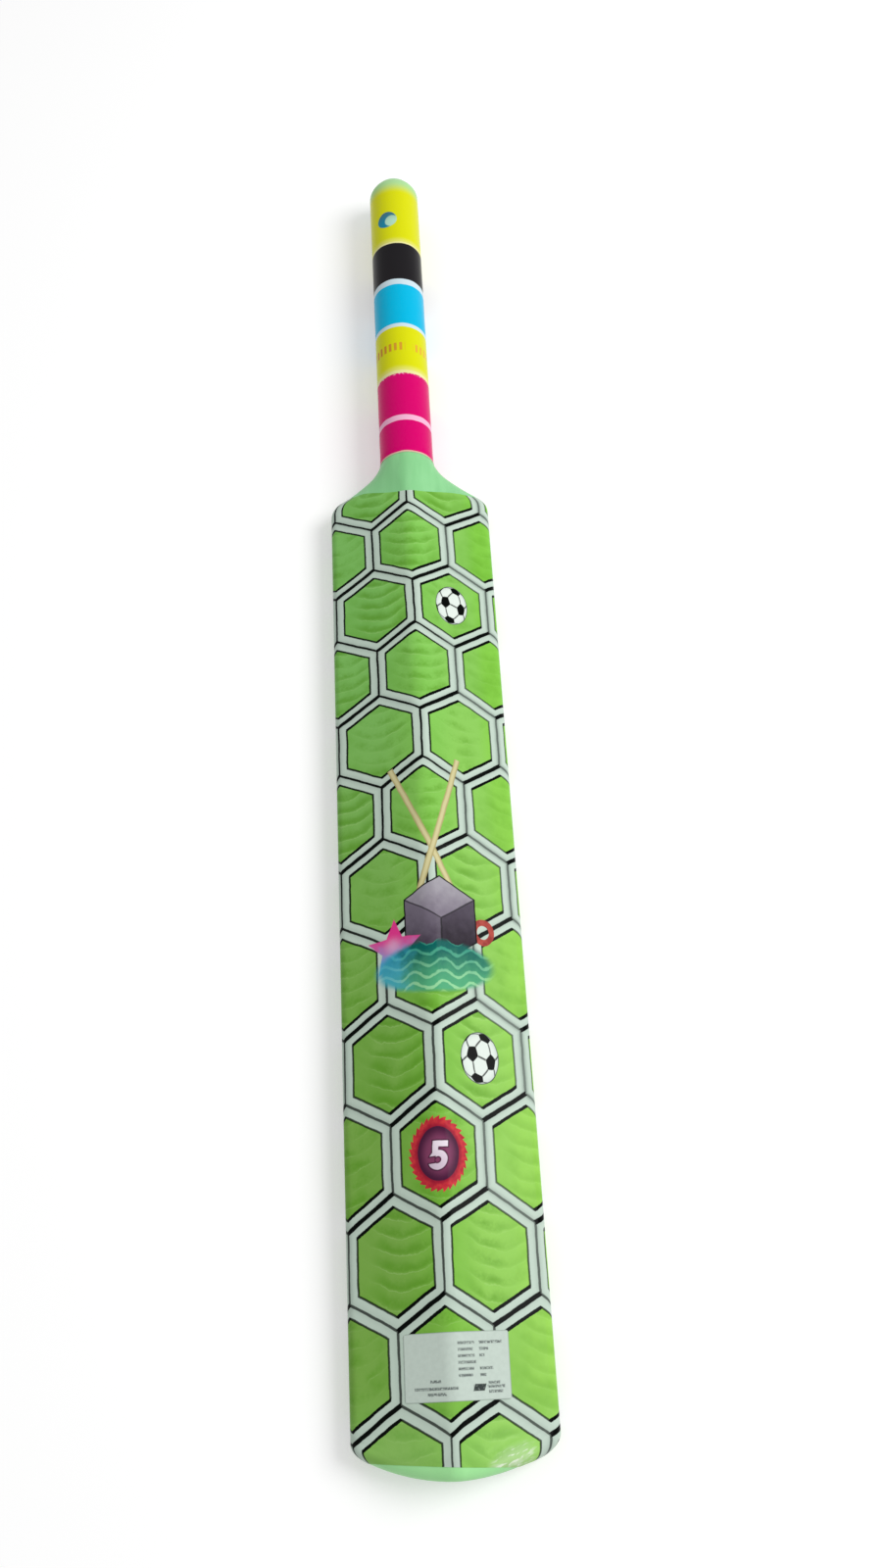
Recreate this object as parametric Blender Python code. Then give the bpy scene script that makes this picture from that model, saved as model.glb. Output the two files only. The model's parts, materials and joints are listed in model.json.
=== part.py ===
"""Plastic cricket bat: one hollow moulded shell with its stopper, two printed sleeves and a paper label.

Metres, +Z up. The bat lies on its flat batting face, and +Y runs from the toe to the handle's end.
A distance called s is measured along +Y from the tip of the toe.
"""

import math

import bmesh
import bpy
from mathutils import Vector

# Moulded blade, without its film
BLADE_WIDTH = 0.0886
BLADE_LENGTH = 0.4920
TOE_ARC_R = 0.0920
TOE_CORNER_R = 0.0070
TOE_ROUNDING = 0.0050
TOE_SPINE_H = 0.0256
SWELL_SPINE_H = 0.0326
SWELL_AT = 0.170
NECK_SPINE_H = 0.0316
TOE_EDGE_H = 0.0118
EDGE_H = 0.0135
RIDGE_R = 0.0100
BACK_EDGE_R = 0.0050
FACE_EDGE_R = 0.0040
SMALLEST_ROUND = 0.0006

# Shoulders and handle, without their film
SHOULDER_R = 0.0100
SHOULDER_ANGLE = math.radians(57.5)
NECK_R = 0.0195
LARGEST_ROUND_SHARE = 0.98
HANDLE_R = 0.0146
HANDLE_LENGTH = 0.2179
HANDLE_LIFT = 0.0027
DOME_DEPTH = 0.0130

# Wall, blow hole and the stopper pressed into it
WALL = 0.0022
BLOW_HOLE_R = 0.0045
HOLE_LAND = 0.0030
STOPPER_LENGTH = 0.0070
STOPPER_TAPER = 0.0008
STOPPER_HEAD_LIP = 0.0017
STOPPER_HEAD_T = 0.0012
STOPPER_HEAD_ROUND = 0.0005

# Printed sleeves and paper label
FILM_T = 0.0004
FIT_GAP = 0.0003
FILM_FROM_TOE = 0.0055
SHOULDER_COVER = 0.0025
NECK_COVER = 0.0060
BARE_BELOW_DOME = 0.0030
LABEL_WIDTH = 0.0440
LABEL_HEIGHT = 0.0270
LABEL_SIDE_SHIFT = 0.0025
LABEL_FROM_TOE = 0.0310
LABEL_T = 0.0003

# How finely round stretches are divided
TOE_STEPS = 6
STEPS_SKIPPED_INSIDE = 2
SHOULDER_STEPS = 4
NECK_STEPS = 6
DOME_STEPS = 6
STOPPER_SIDES = 28
RIDGE_STEPS = 2
SLOPE_STEPS = 4
CORNER_STEPS = 3
FACE_STEPS = RIDGE_STEPS + SLOPE_STEPS
HALF_RING = RIDGE_STEPS + SLOPE_STEPS + 2 * CORNER_STEPS + 1 + FACE_STEPS
RING_SIZE = 2 * HALF_RING
STATION_SPACING = 0.0012

# Sizes that follow from the ones above
HALF_BLADE = BLADE_WIDTH / 2
FACE_Z = FIT_GAP + FILM_T
HANDLE_AXIS_H = HANDLE_LIFT + HANDLE_R
FLARE_ROOM = HALF_BLADE - HANDLE_R
FLARE_TURN = 1 - math.cos(SHOULDER_ANGLE)
FLARE_FIT = min(1.0, LARGEST_ROUND_SHARE * FLARE_ROOM / (FLARE_TURN * (SHOULDER_R + NECK_R)))
SHOULDER_ARC_R = SHOULDER_R * FLARE_FIT
NECK_ARC_R = NECK_R * FLARE_FIT
FLARE_STRAIGHT = (FLARE_ROOM - FLARE_TURN * (SHOULDER_ARC_R + NECK_ARC_R)) / math.sin(SHOULDER_ANGLE)
SHOULDER_END = BLADE_LENGTH + SHOULDER_ARC_R * math.sin(SHOULDER_ANGLE)
NECK_START = SHOULDER_END + FLARE_STRAIGHT * math.cos(SHOULDER_ANGLE)
NECK_END = NECK_START + NECK_ARC_R * math.sin(SHOULDER_ANGLE)
LAND_S = NECK_END + HANDLE_LENGTH
LAND_R = BLOW_HOLE_R + HOLE_LAND
DOME_END_ANGLE = math.acos(LAND_R / HANDLE_R)
DOME_START = LAND_S - DOME_DEPTH * math.sin(DOME_END_ANGLE)
LENGTH = LAND_S + FIT_GAP + STOPPER_HEAD_T
TOE_Y = -LENGTH / 2
TOE_BLEND = LABEL_FROM_TOE - STATION_SPACING
BLADE_FILM_END = BLADE_LENGTH + SHOULDER_COVER
HANDLE_FILM_START = NECK_END - NECK_COVER
HANDLE_FILM_END = DOME_START - BARE_BELOW_DOME
LABEL_END = LABEL_FROM_TOE + LABEL_HEIGHT


def clear_scene():
    for item in list(bpy.data.objects):
        bpy.data.objects.remove(item, do_unlink=True)


def smooth_step(t):
    t = min(max(t, 0.0), 1.0)
    return t * t * (3 - 2 * t)


def mix(a, b, t):
    return a + (b - a) * t


def half_width(s):
    """Half the shell's width: the blade, round shoulders, a straight slope and the hollow of the neck."""
    if s <= BLADE_LENGTH:
        return HALF_BLADE
    if s <= SHOULDER_END:
        rise = s - BLADE_LENGTH
        return HALF_BLADE - SHOULDER_ARC_R + math.sqrt(SHOULDER_ARC_R**2 - rise**2)
    if s <= NECK_START:
        slope_start = HALF_BLADE - SHOULDER_ARC_R * FLARE_TURN
        return slope_start - (s - SHOULDER_END) * math.tan(SHOULDER_ANGLE)
    if s <= NECK_END:
        drop = NECK_END - s
        return HANDLE_R + NECK_ARC_R - math.sqrt(NECK_ARC_R**2 - drop**2)
    return HANDLE_R


def spine_height(s):
    """Height of the back's ridge above the batting face: low at the toe, highest at the swell."""
    if s < SWELL_AT:
        return mix(TOE_SPINE_H, SWELL_SPINE_H, smooth_step(s / SWELL_AT))
    return mix(SWELL_SPINE_H, NECK_SPINE_H, smooth_step((s - SWELL_AT) / (BLADE_LENGTH - SWELL_AT)))


def edge_height(s):
    return mix(TOE_EDGE_H, EDGE_H, smooth_step(s / SWELL_AT))


def toe_sweep(x, s):
    """How far the curved toe falls back at x, fading out up the blade."""
    sag = TOE_ARC_R - math.sqrt(TOE_ARC_R**2 - x**2)
    return sag * max(0.0, 1 - s / TOE_BLEND)


def arc(centre, radius, start, end, steps):
    """Points on an arc, without its first point."""
    points = []
    for k in range(1, steps + 1):
        angle = mix(start, end, k / steps)
        points.append((centre[0] + radius * math.cos(angle), centre[1] + radius * math.sin(angle)))
    return points


def straight(start, end, steps):
    """Points on a straight line, without its first point."""
    return [(mix(start[0], end[0], k / steps), mix(start[1], end[1], k / steps)) for k in range(1, steps + 1)]


def blade_half(half_w, spine_h, edge_h, inset):
    """Right half of the blade's section, from the ridge round the edge to the middle of the face."""
    top = spine_h - inset
    bottom = inset
    edge_top = edge_h - inset
    room = (edge_top - bottom) / 2
    back_r = min(max(BACK_EDGE_R - inset, SMALLEST_ROUND), room)
    face_r = min(max(FACE_EDGE_R - inset, SMALLEST_ROUND), room)
    ridge = (0.0, top - RIDGE_R)
    reach = math.hypot(half_w, edge_top - ridge[1])
    tangent = math.atan2(edge_top - ridge[1], half_w) + math.acos(RIDGE_R / reach)
    cut = back_r * math.tan(tangent / 2)
    slope_end = (half_w - cut * math.sin(tangent), edge_top + cut * math.cos(tangent))
    points = [(0.0, top)]
    points += arc(ridge, RIDGE_R, math.pi / 2, tangent, RIDGE_STEPS)
    points += straight(points[-1], slope_end, SLOPE_STEPS)
    points += arc((half_w - back_r, edge_top - cut), back_r, tangent, 0.0, CORNER_STEPS)
    points += [(half_w, bottom + face_r)]
    points += arc((half_w - face_r, bottom + face_r), face_r, 0.0, -math.pi / 2, CORNER_STEPS)
    points += straight(points[-1], (0.0, bottom), FACE_STEPS)
    return points


def round_half(half_w, radius):
    """Right half of the handle's section, with as many points as the blade's."""
    points = []
    for k in range(HALF_RING + 1):
        angle = math.pi / 2 - math.pi * k / HALF_RING
        points.append((half_w * math.cos(angle), HANDLE_AXIS_H + radius * math.sin(angle)))
    return points


def ring_at(s, side_inset=0.0, face_inset=0.0, handle_scale=1.0):
    """One closed ring of the shell's outside at s, running from the ridge round by +X."""
    wide = half_width(s)
    share = (wide - HANDLE_R) / FLARE_ROOM
    blade_share = 1 - (1 - share) ** 2
    blade = blade_half(wide - side_inset, spine_height(s), edge_height(s), face_inset)
    handle = round_half(wide * handle_scale, HANDLE_R * handle_scale)
    half = [(mix(h[0], b[0], blade_share), mix(h[1], b[1], blade_share)) for h, b in zip(handle, blade)]
    other_half = [(-x, z) for x, z in reversed(half[1:-1])]
    return [Vector((x, TOE_Y + s + toe_sweep(x, s), FACE_Z + z)) for x, z in half + other_half]


def blade_stations():
    """Places of the rings between the toe's corner and the handle's dome, each film and label end among them."""
    needed = [TOE_CORNER_R, LABEL_FROM_TOE, LABEL_END, BLADE_LENGTH, BLADE_FILM_END]
    needed += [SHOULDER_END, NECK_START, HANDLE_FILM_START, NECK_END, HANDLE_FILM_END, DOME_START]
    wanted = [TOE_BLEND / 2, (LABEL_FROM_TOE + LABEL_END) / 2]
    wanted += [mix(LABEL_END, SWELL_AT, k / 3) for k in range(1, 4)]
    wanted += [mix(SWELL_AT, BLADE_LENGTH, k / 3) for k in range(1, 3)]
    for k in range(1, SHOULDER_STEPS):
        wanted.append(BLADE_LENGTH + SHOULDER_ARC_R * math.sin(SHOULDER_ANGLE * k / SHOULDER_STEPS))
    wanted.append((SHOULDER_END + NECK_START) / 2)
    for k in range(1, NECK_STEPS):
        wanted.append(NECK_END - NECK_ARC_R * math.sin(SHOULDER_ANGLE * k / NECK_STEPS))
    stations = sorted(needed)
    for s in wanted:
        if all(abs(s - other) > STATION_SPACING for other in stations):
            stations.append(s)
    return sorted(stations)


def shell_rings():
    """All rings of the shell's outside with their s, from the toe's end face to the land round the blow hole."""
    rings = []
    for k in range(TOE_STEPS):
        angle = math.pi / 2 * (1 - k / TOE_STEPS)
        pull = 1 - math.cos(angle)
        s = TOE_CORNER_R * (1 - math.sin(angle))
        rings.append((s, ring_at(s, TOE_CORNER_R * pull, TOE_ROUNDING * pull)))
    for s in blade_stations():
        rings.append((s, ring_at(s)))
    for k in range(1, DOME_STEPS + 1):
        angle = DOME_END_ANGLE * k / DOME_STEPS
        s = DOME_START + DOME_DEPTH * math.sin(angle)
        rings.append((s, ring_at(s, handle_scale=math.cos(angle))))
    return rings


def add_ring_faces(bm, first, second):
    for k in range(len(first)):
        after = (k + 1) % len(first)
        bm.faces.new((first[k], first[after], second[after], second[k]))


def add_toe_cap(bm, ring):
    """Closes a toe ring with upright strips, so that the end face keeps its curve."""
    for side in (1, -1):
        for k in range(HALF_RING // 2):
            top = ring[side * k]
            next_top = ring[side * (k + 1)]
            low = ring[(side * (HALF_RING - k)) % RING_SIZE]
            next_low = ring[(side * (HALF_RING - k - 1)) % RING_SIZE]
            bm.faces.new((top, next_top, next_low, low))


def loft(rings, toe_caps=False, closed=False):
    """A mesh through a chain of rings, shut by a toe cap at each end, or joined end to end."""
    bm = bmesh.new()
    grid = [[bm.verts.new(point) for point in ring] for ring in rings]
    for first, second in zip(grid, grid[1:]):
        add_ring_faces(bm, first, second)
    if closed:
        add_ring_faces(bm, grid[-1], grid[0])
    if toe_caps:
        add_toe_cap(bm, grid[0])
        add_toe_cap(bm, grid[-1])
    bmesh.ops.recalc_face_normals(bm, faces=bm.faces)
    return bm


def outward_steps(rings):
    """For each point of the shell, the step that moves its faces out by one unit."""
    bm = bmesh.new()
    grid = [[bm.verts.new(point) for point in ring] for ring in rings]
    for first, second in zip(grid, grid[1:]):
        add_ring_faces(bm, first, second)
    add_toe_cap(bm, grid[0])
    bm.faces.new(grid[-1])
    bmesh.ops.recalc_face_normals(bm, faces=bm.faces)
    bm.normal_update()
    steps = [[vert.normal * vert.calc_shell_factor() for vert in ring] for ring in grid]
    bm.free()
    return steps


def moved_out(rings, steps, distance):
    return [[p + n * distance for p, n in zip(ring, step)] for ring, step in zip(rings, steps)]


def plastic(name, colour, roughness):
    material = bpy.data.materials.new(name)
    material.use_nodes = True
    shader = material.node_tree.nodes["Principled BSDF"]
    shader.inputs["Base Color"].default_value = (*colour, 1.0)
    shader.inputs["Roughness"].default_value = roughness
    shader.inputs["Metallic"].default_value = 0.0
    material.diffuse_color = (*colour, 1.0)
    return material


def add_object(name, bm, material):
    mesh = bpy.data.meshes.new(name)
    bm.to_mesh(mesh)
    bm.free()
    mesh.shade_smooth()
    mesh.set_sharp_from_angle(angle=math.radians(38))
    mesh.materials.append(material)
    piece = bpy.data.objects.new(name, mesh)
    bpy.context.collection.objects.link(piece)
    return piece


def make_bat_body(rings, steps):
    """The moulded shell: outside, blow hole and inside are one chain of rings."""
    inside = moved_out(rings, steps, -WALL)[STEPS_SKIPPED_INSIDE:]
    land_y = TOE_Y + LAND_S
    hole = [(x, FACE_Z + z) for x, z in round_half(BLOW_HOLE_R, BLOW_HOLE_R)]
    hole += [(-x, z) for x, z in reversed(hole[1:-1])]
    mouth = [Vector((x, land_y, z)) for x, z in hole]
    throat = [Vector((x, land_y - WALL, z)) for x, z in hole]
    bm = loft(rings + [mouth, throat] + inside[::-1], toe_caps=True)
    return add_object("bat_body", bm, plastic("mint_plastic", (0.24, 0.64, 0.28), 0.38))


def make_end_plug():
    """The stopper: a turned shank in the blow hole and a thin head on the handle's end."""
    shank_r = BLOW_HOLE_R - FIT_GAP
    head_r = BLOW_HOLE_R + STOPPER_HEAD_LIP
    seat = LAND_S + FIT_GAP
    tip = LAND_S - STOPPER_LENGTH
    taper = min(STOPPER_TAPER, shank_r / 2)
    head_round = min(STOPPER_HEAD_ROUND, STOPPER_HEAD_T / 2)
    profile = [(0.0, tip), (shank_r - taper, tip), (shank_r, tip + taper), (shank_r, seat), (head_r, seat)]
    profile += [(head_r, LENGTH - head_round), (head_r - head_round, LENGTH), (0.0, LENGTH)]
    axis_z = FACE_Z + HANDLE_AXIS_H
    bm = bmesh.new()
    verts = [bm.verts.new((r, TOE_Y + s, axis_z)) for r, s in profile]
    edges = [bm.edges.new(pair) for pair in zip(verts, verts[1:])]
    bmesh.ops.spin(
        bm,
        geom=verts + edges,
        cent=(0.0, 0.0, axis_z),
        axis=(0.0, 1.0, 0.0),
        angle=2 * math.pi,
        steps=STOPPER_SIDES,
    )
    bmesh.ops.remove_doubles(bm, verts=bm.verts, dist=0.00002)
    bmesh.ops.recalc_face_normals(bm, faces=bm.faces)
    return add_object("end_plug", bm, plastic("stopper_plastic", (0.22, 0.60, 0.27), 0.45))


def make_trim_box():
    """Cutter that trims the blade's film square across the toe."""
    bm = bmesh.new()
    bmesh.ops.create_cube(bm, size=1.0)
    size = Vector((2 * BLADE_WIDTH, BLADE_WIDTH, 4 * SWELL_SPINE_H))
    place = Vector((0.0, TOE_Y + FILM_FROM_TOE - size.y / 2, 0.0))
    for vert in bm.verts:
        vert.co = Vector((vert.co.x * size.x, vert.co.y * size.y, vert.co.z * size.z)) + place
    cutter = add_object("film_trim", bm, plastic("cutter", (1.0, 0.3, 0.3), 0.5))
    cutter.display_type = "WIRE"
    cutter.hide_render = True
    return cutter


def make_blade_sleeve(rings, steps, stations):
    """The printed film shrunk round the blade, drawn over the toe's corners and trimmed square."""
    count = stations.index(BLADE_FILM_END) + 1
    inner = moved_out(rings[:count], steps, FIT_GAP)
    outer = moved_out(rings[:count], steps, FIT_GAP + FILM_T)
    bm = loft(outer + inner[::-1], toe_caps=True)
    sleeve = add_object("blade_sleeve", bm, plastic("printed_film", (0.27, 0.55, 0.12), 0.22))
    trim = sleeve.modifiers.new("toe_trim", "BOOLEAN")
    trim.operation = "DIFFERENCE"
    trim.solver = "EXACT"
    trim.object = make_trim_box()
    return sleeve


def make_handle_sleeve(rings, steps, stations):
    """The banded film shrunk round the handle."""
    first = stations.index(HANDLE_FILM_START)
    last = stations.index(HANDLE_FILM_END) + 1
    inner = moved_out(rings[first:last], steps[first:last], FIT_GAP)
    outer = moved_out(rings[first:last], steps[first:last], FIT_GAP + FILM_T)
    bm = loft(outer + inner[::-1], closed=True)
    return add_object("handle_sleeve", bm, plastic("banded_film", (0.75, 0.78, 0.02), 0.25))


def label_row(ring, step, distance):
    """The blade film's section under the label: its cut ends and the bend over the ridge."""
    row = []
    for side in (-1, 1):
        edge_x = LABEL_SIDE_SHIFT + side * LABEL_WIDTH / 2
        near = ring[side * RIDGE_STEPS]
        far = ring[side * (RIDGE_STEPS + SLOPE_STEPS)]
        share = (edge_x - near.x) / (far.x - near.x)
        end = near.lerp(far, share) + step[side * (RIDGE_STEPS + 1)] * distance
        bend = [ring[side * k] + step[side * k] * distance for k in range(RIDGE_STEPS, -1, -1)]
        row += [end] + bend if side < 0 else bend[::-1][1:] + [end]
    return row


def make_price_label(rings, steps, stations):
    """The paper sticker laid over the ridge near the toe."""
    first = stations.index(LABEL_FROM_TOE)
    last = stations.index(LABEL_END) + 1
    under = FIT_GAP + FILM_T + FIT_GAP
    bm = bmesh.new()
    grid = []
    for ring, step in zip(rings[first:last], steps[first:last]):
        row = label_row(ring, step, under) + label_row(ring, step, under + LABEL_T)[::-1]
        grid.append([bm.verts.new(point) for point in row])
    for before, after in zip(grid, grid[1:]):
        add_ring_faces(bm, before, after)
    for end in (grid[0], grid[-1]):
        for k in range(len(end) // 2 - 1):
            bm.faces.new((end[k], end[k + 1], end[-2 - k], end[-1 - k]))
    bmesh.ops.recalc_face_normals(bm, faces=bm.faces)
    return add_object("price_label", bm, plastic("label_paper", (0.75, 0.78, 0.76), 0.5))


def main():
    clear_scene()
    placed = shell_rings()
    stations = [s for s, ring in placed]
    rings = [ring for s, ring in placed]
    steps = outward_steps(rings)
    make_bat_body(rings, steps)
    make_end_plug()
    make_blade_sleeve(rings, steps, stations)
    make_handle_sleeve(rings, steps, stations)
    make_price_label(rings, steps, stations)
    print(f"length {LENGTH:.4f}  blade {BLADE_WIDTH + 2 * FACE_Z:.4f}  neck ends at {NECK_END:.4f}")


main()
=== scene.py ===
# %% [markdown]
# # A hollow plastic cricket bat
# This bat is a toy: one hollow shell of mint green plastic, blown in a mould, with two printed
# films shrunk over it and a paper label near the toe. It lies on its flat batting face.
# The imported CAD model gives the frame. Each of its plain solids is replaced here by a finer mesh
# in the same place, and each mesh gets a material made of nodes.

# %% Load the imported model
import json
import math

import bmesh
import bpy
import numpy as np
from mathutils import Matrix, Vector

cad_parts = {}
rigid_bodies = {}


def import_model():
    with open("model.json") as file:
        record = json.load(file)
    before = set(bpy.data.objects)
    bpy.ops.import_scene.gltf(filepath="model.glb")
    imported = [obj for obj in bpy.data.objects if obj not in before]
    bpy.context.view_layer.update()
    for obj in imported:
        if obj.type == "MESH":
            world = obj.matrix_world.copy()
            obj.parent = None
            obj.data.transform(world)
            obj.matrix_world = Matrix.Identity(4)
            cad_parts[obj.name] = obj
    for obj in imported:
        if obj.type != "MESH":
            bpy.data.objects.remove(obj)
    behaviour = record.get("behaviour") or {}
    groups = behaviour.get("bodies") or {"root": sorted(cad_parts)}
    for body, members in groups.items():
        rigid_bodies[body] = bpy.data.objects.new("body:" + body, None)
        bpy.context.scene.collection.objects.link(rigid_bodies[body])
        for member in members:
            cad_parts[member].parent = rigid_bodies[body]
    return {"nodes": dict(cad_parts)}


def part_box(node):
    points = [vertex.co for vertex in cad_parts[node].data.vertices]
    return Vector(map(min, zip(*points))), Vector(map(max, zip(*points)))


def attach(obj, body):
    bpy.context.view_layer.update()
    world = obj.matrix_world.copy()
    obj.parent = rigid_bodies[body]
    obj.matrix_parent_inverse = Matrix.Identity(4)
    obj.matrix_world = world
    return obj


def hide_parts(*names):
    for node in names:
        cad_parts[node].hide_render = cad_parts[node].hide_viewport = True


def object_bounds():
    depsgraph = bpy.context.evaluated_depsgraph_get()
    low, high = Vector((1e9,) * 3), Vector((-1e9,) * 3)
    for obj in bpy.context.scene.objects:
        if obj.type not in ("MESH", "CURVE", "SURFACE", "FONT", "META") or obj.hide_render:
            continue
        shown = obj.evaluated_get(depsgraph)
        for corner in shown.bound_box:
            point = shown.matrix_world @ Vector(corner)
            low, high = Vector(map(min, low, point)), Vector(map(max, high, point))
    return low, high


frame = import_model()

cad_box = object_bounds()
print("nodes", sorted(frame["nodes"]))


# %% [markdown]
# ## The form of the bat
# All pieces of a shrink-wrapped bat share one form: the shell has it, and the films are that form
# moved outwards by a film's thickness. So the form is written once, as a function that gives a
# closed ring of points at a distance s from the toe, and every piece is a grid of such rings.
# The box of each CAD node gives the main sizes, and the other sizes are the usual ones of a mould.
# Sizes are in metres here, and in mm where something is drawn.

# %% Main sizes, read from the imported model
shell_low, shell_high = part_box("bat_body")
film_low, film_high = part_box("blade_sleeve")
grip_low, grip_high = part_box("handle_sleeve")
plug_low, plug_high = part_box("end_plug")
label_low, label_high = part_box("price_label")

TOE_Y = shell_low.y
FACE_Z = shell_low.z
HALF_BLADE = shell_high.x
FILM_REACH = film_high.x - shell_high.x
FILM_CUT = film_low.y - TOE_Y
FILM_END = film_high.y - TOE_Y
GRIP_START = grip_low.y - TOE_Y
LAND_S = shell_high.y - TOE_Y
HANDLE_R = (grip_high.z - grip_low.z) / 2 - FILM_REACH
HANDLE_AXIS_H = (grip_high.z + grip_low.z) / 2 - FACE_Z
print(f"blade half {HALF_BLADE:.4f}, handle radius {HANDLE_R:.4f}, film stands {FILM_REACH:.4f} proud")


# %% Sizes of the mould's curves
BLADE_LENGTH = 0.4920
TOE_ARC_R = 0.0920
TOE_CORNER_R = 0.0070
TOE_ROUNDING = 0.0050
TOE_SPINE_H = 0.0256
SWELL_SPINE_H = 0.0326
SWELL_AT = 0.170
NECK_SPINE_H = 0.0316
TOE_EDGE_H = 0.0118
EDGE_H = 0.0135
RIDGE_R = 0.0100
BACK_EDGE_R = 0.0050
FACE_EDGE_R = 0.0040
SHOULDER_R = 0.0100
SHOULDER_ANGLE = math.radians(57.5)
NECK_R = 0.0195
DOME_DEPTH = 0.0130
BLOW_HOLE_R = 0.0045
HOLE_LAND = 0.0030
TOE_BLEND = 0.0298
PARTING_HALF = 0.0003

FLARE_ROOM = HALF_BLADE - HANDLE_R
FLARE_TURN = 1 - math.cos(SHOULDER_ANGLE)
FLARE_STRAIGHT = (FLARE_ROOM - FLARE_TURN * (SHOULDER_R + NECK_R)) / math.sin(SHOULDER_ANGLE)
SHOULDER_END = BLADE_LENGTH + SHOULDER_R * math.sin(SHOULDER_ANGLE)
NECK_START = SHOULDER_END + FLARE_STRAIGHT * math.cos(SHOULDER_ANGLE)
NECK_END = NECK_START + NECK_R * math.sin(SHOULDER_ANGLE)
DOME_END_ANGLE = math.acos((BLOW_HOLE_R + HOLE_LAND) / HANDLE_R)
DOME_START = LAND_S - DOME_DEPTH * math.sin(DOME_END_ANGLE)
print("shoulders' end, neck's end, dome's start",
      round(SHOULDER_END, 4), round(NECK_END, 4), round(DOME_START, 4))


# %% Widths and heights along the bat
def smooth(t):
    """Goes from 0 to 1 with soft ends, for a number or an array."""
    t = np.clip(t, 0.0, 1.0)
    return t * t * (3 - 2 * t)


def mix(a, b, t):
    return a + (b - a) * t


def half_width(s):
    """Blade, round shoulder, straight slope, hollow neck and handle, in that order."""
    if s <= BLADE_LENGTH:
        return HALF_BLADE
    if s <= SHOULDER_END:
        return HALF_BLADE - SHOULDER_R + math.sqrt(SHOULDER_R**2 - (s - BLADE_LENGTH) ** 2)
    if s <= NECK_START:
        return HALF_BLADE - SHOULDER_R * FLARE_TURN - (s - SHOULDER_END) * math.tan(SHOULDER_ANGLE)
    if s <= NECK_END:
        return HANDLE_R + NECK_R - math.sqrt(NECK_R**2 - (NECK_END - s) ** 2)
    return HANDLE_R


def spine_height(s):
    rise = mix(TOE_SPINE_H, SWELL_SPINE_H, smooth(s / SWELL_AT))
    fall = mix(SWELL_SPINE_H, NECK_SPINE_H, smooth((s - SWELL_AT) / (BLADE_LENGTH - SWELL_AT)))
    return rise if s < SWELL_AT else fall


def edge_height(s):
    return mix(TOE_EDGE_H, EDGE_H, smooth(s / SWELL_AT))


def toe_sweep(x, s):
    """How far the curved toe falls back at x, fading out up the blade."""
    return (TOE_ARC_R - np.sqrt(TOE_ARC_R**2 - x**2)) * max(0.0, 1 - s / TOE_BLEND)


print("the toe's corners fall back by", round(toe_sweep(HALF_BLADE, 0.0), 4))


# %% [markdown]
# ## One ring of the form
# Half a ring runs from the ridge down the sloping back, round the edge and back along the flat
# face. The blade's half is straights and round bends, the handle's half is half a circle with as
# many points, and the shoulders mix the two. Half of the points lie above the mould's parting
# line and half below it, so that the toe's end face can be closed with upright strips.

# %% Steps of a ring
RIDGE_STEPS = 6
SLOPE_STEPS = 24
CORNER_STEPS = 8
PARTING_STEPS = 2
FACE_CORNER_STEPS = 6
SIDE = RIDGE_STEPS + SLOPE_STEPS + CORNER_STEPS + 1 + PARTING_STEPS
FACE_STEPS = SIDE - PARTING_STEPS - 1 - FACE_CORNER_STEPS
HALF = 2 * SIDE
AROUND = 2 * HALF


def bend(centre, radius, start, end, steps):
    angle = np.linspace(start, end, steps + 1)[1:]
    return np.stack([centre[0] + radius * np.cos(angle), centre[1] + radius * np.sin(angle)], 1)


def straight(start, end, steps):
    t = np.linspace(0, 1, steps + 1)[1:, None]
    return np.asarray(start) * (1 - t) + np.asarray(end) * t


# %% The blade's half of a ring
LEAST_EDGE_R = 0.0006
EDGE_SHRINKS = 0.8
MOST_OF_EDGE = 0.6


def blade_half(wide, spine, edge, inset):
    """Right half of the blade's section as points (x, height above the face)."""
    top, low = spine - inset, inset
    edge_top = edge - inset
    ridge = (0.0, top - RIDGE_R)
    back_r = BACK_EDGE_R - inset * EDGE_SHRINKS
    face_r = max(FACE_EDGE_R - inset, LEAST_EDGE_R)
    reach = math.hypot(wide, edge_top - ridge[1])
    tangent = math.atan2(edge_top - ridge[1], wide) + math.acos(RIDGE_R / reach)
    cut = min(back_r * math.tan(tangent / 2), (edge_top - low - face_r) * MOST_OF_EDGE)
    back_r = cut / math.tan(tangent / 2)
    slope_end = (wide - cut * math.sin(tangent), edge_top + cut * math.cos(tangent))
    side_top, side_low = edge_top - cut, low + face_r
    middle = (side_top + side_low) / 2
    bead = min(PARTING_HALF, (side_top - side_low) / 3)
    points = [np.array([[0.0, top]]), bend(ridge, RIDGE_R, math.pi / 2, tangent, RIDGE_STEPS)]
    points.append(straight(points[-1][-1], slope_end, SLOPE_STEPS))
    points.append(bend((wide - back_r, side_top), back_r, tangent, 0.0, CORNER_STEPS))
    upright = [[wide, middle + bead * t] for t in (1, 0.5, 0, -0.5, -1)]
    points.append(np.array(upright + [[wide, side_low]]))
    points.append(bend((wide - face_r, side_low), face_r, 0.0, -math.pi / 2, FACE_CORNER_STEPS))
    points.append(straight(points[-1][-1], (0.0, low), FACE_STEPS))
    return np.concatenate(points)


# %% The handle's half, and the whole ring
def handle_half(wide, radius):
    """Half a circle with the blade's number of points, close together at the parting line."""
    bead = PARTING_HALF / radius
    above = np.linspace(math.pi / 2, bead, SIDE - PARTING_STEPS + 1)
    near = np.array([0.5, 0.0, -0.5]) * bead
    angle = np.concatenate([above, near, -above[::-1]])
    return np.stack([wide * np.cos(angle), HANDLE_AXIS_H + radius * np.sin(angle)], 1)


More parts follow.
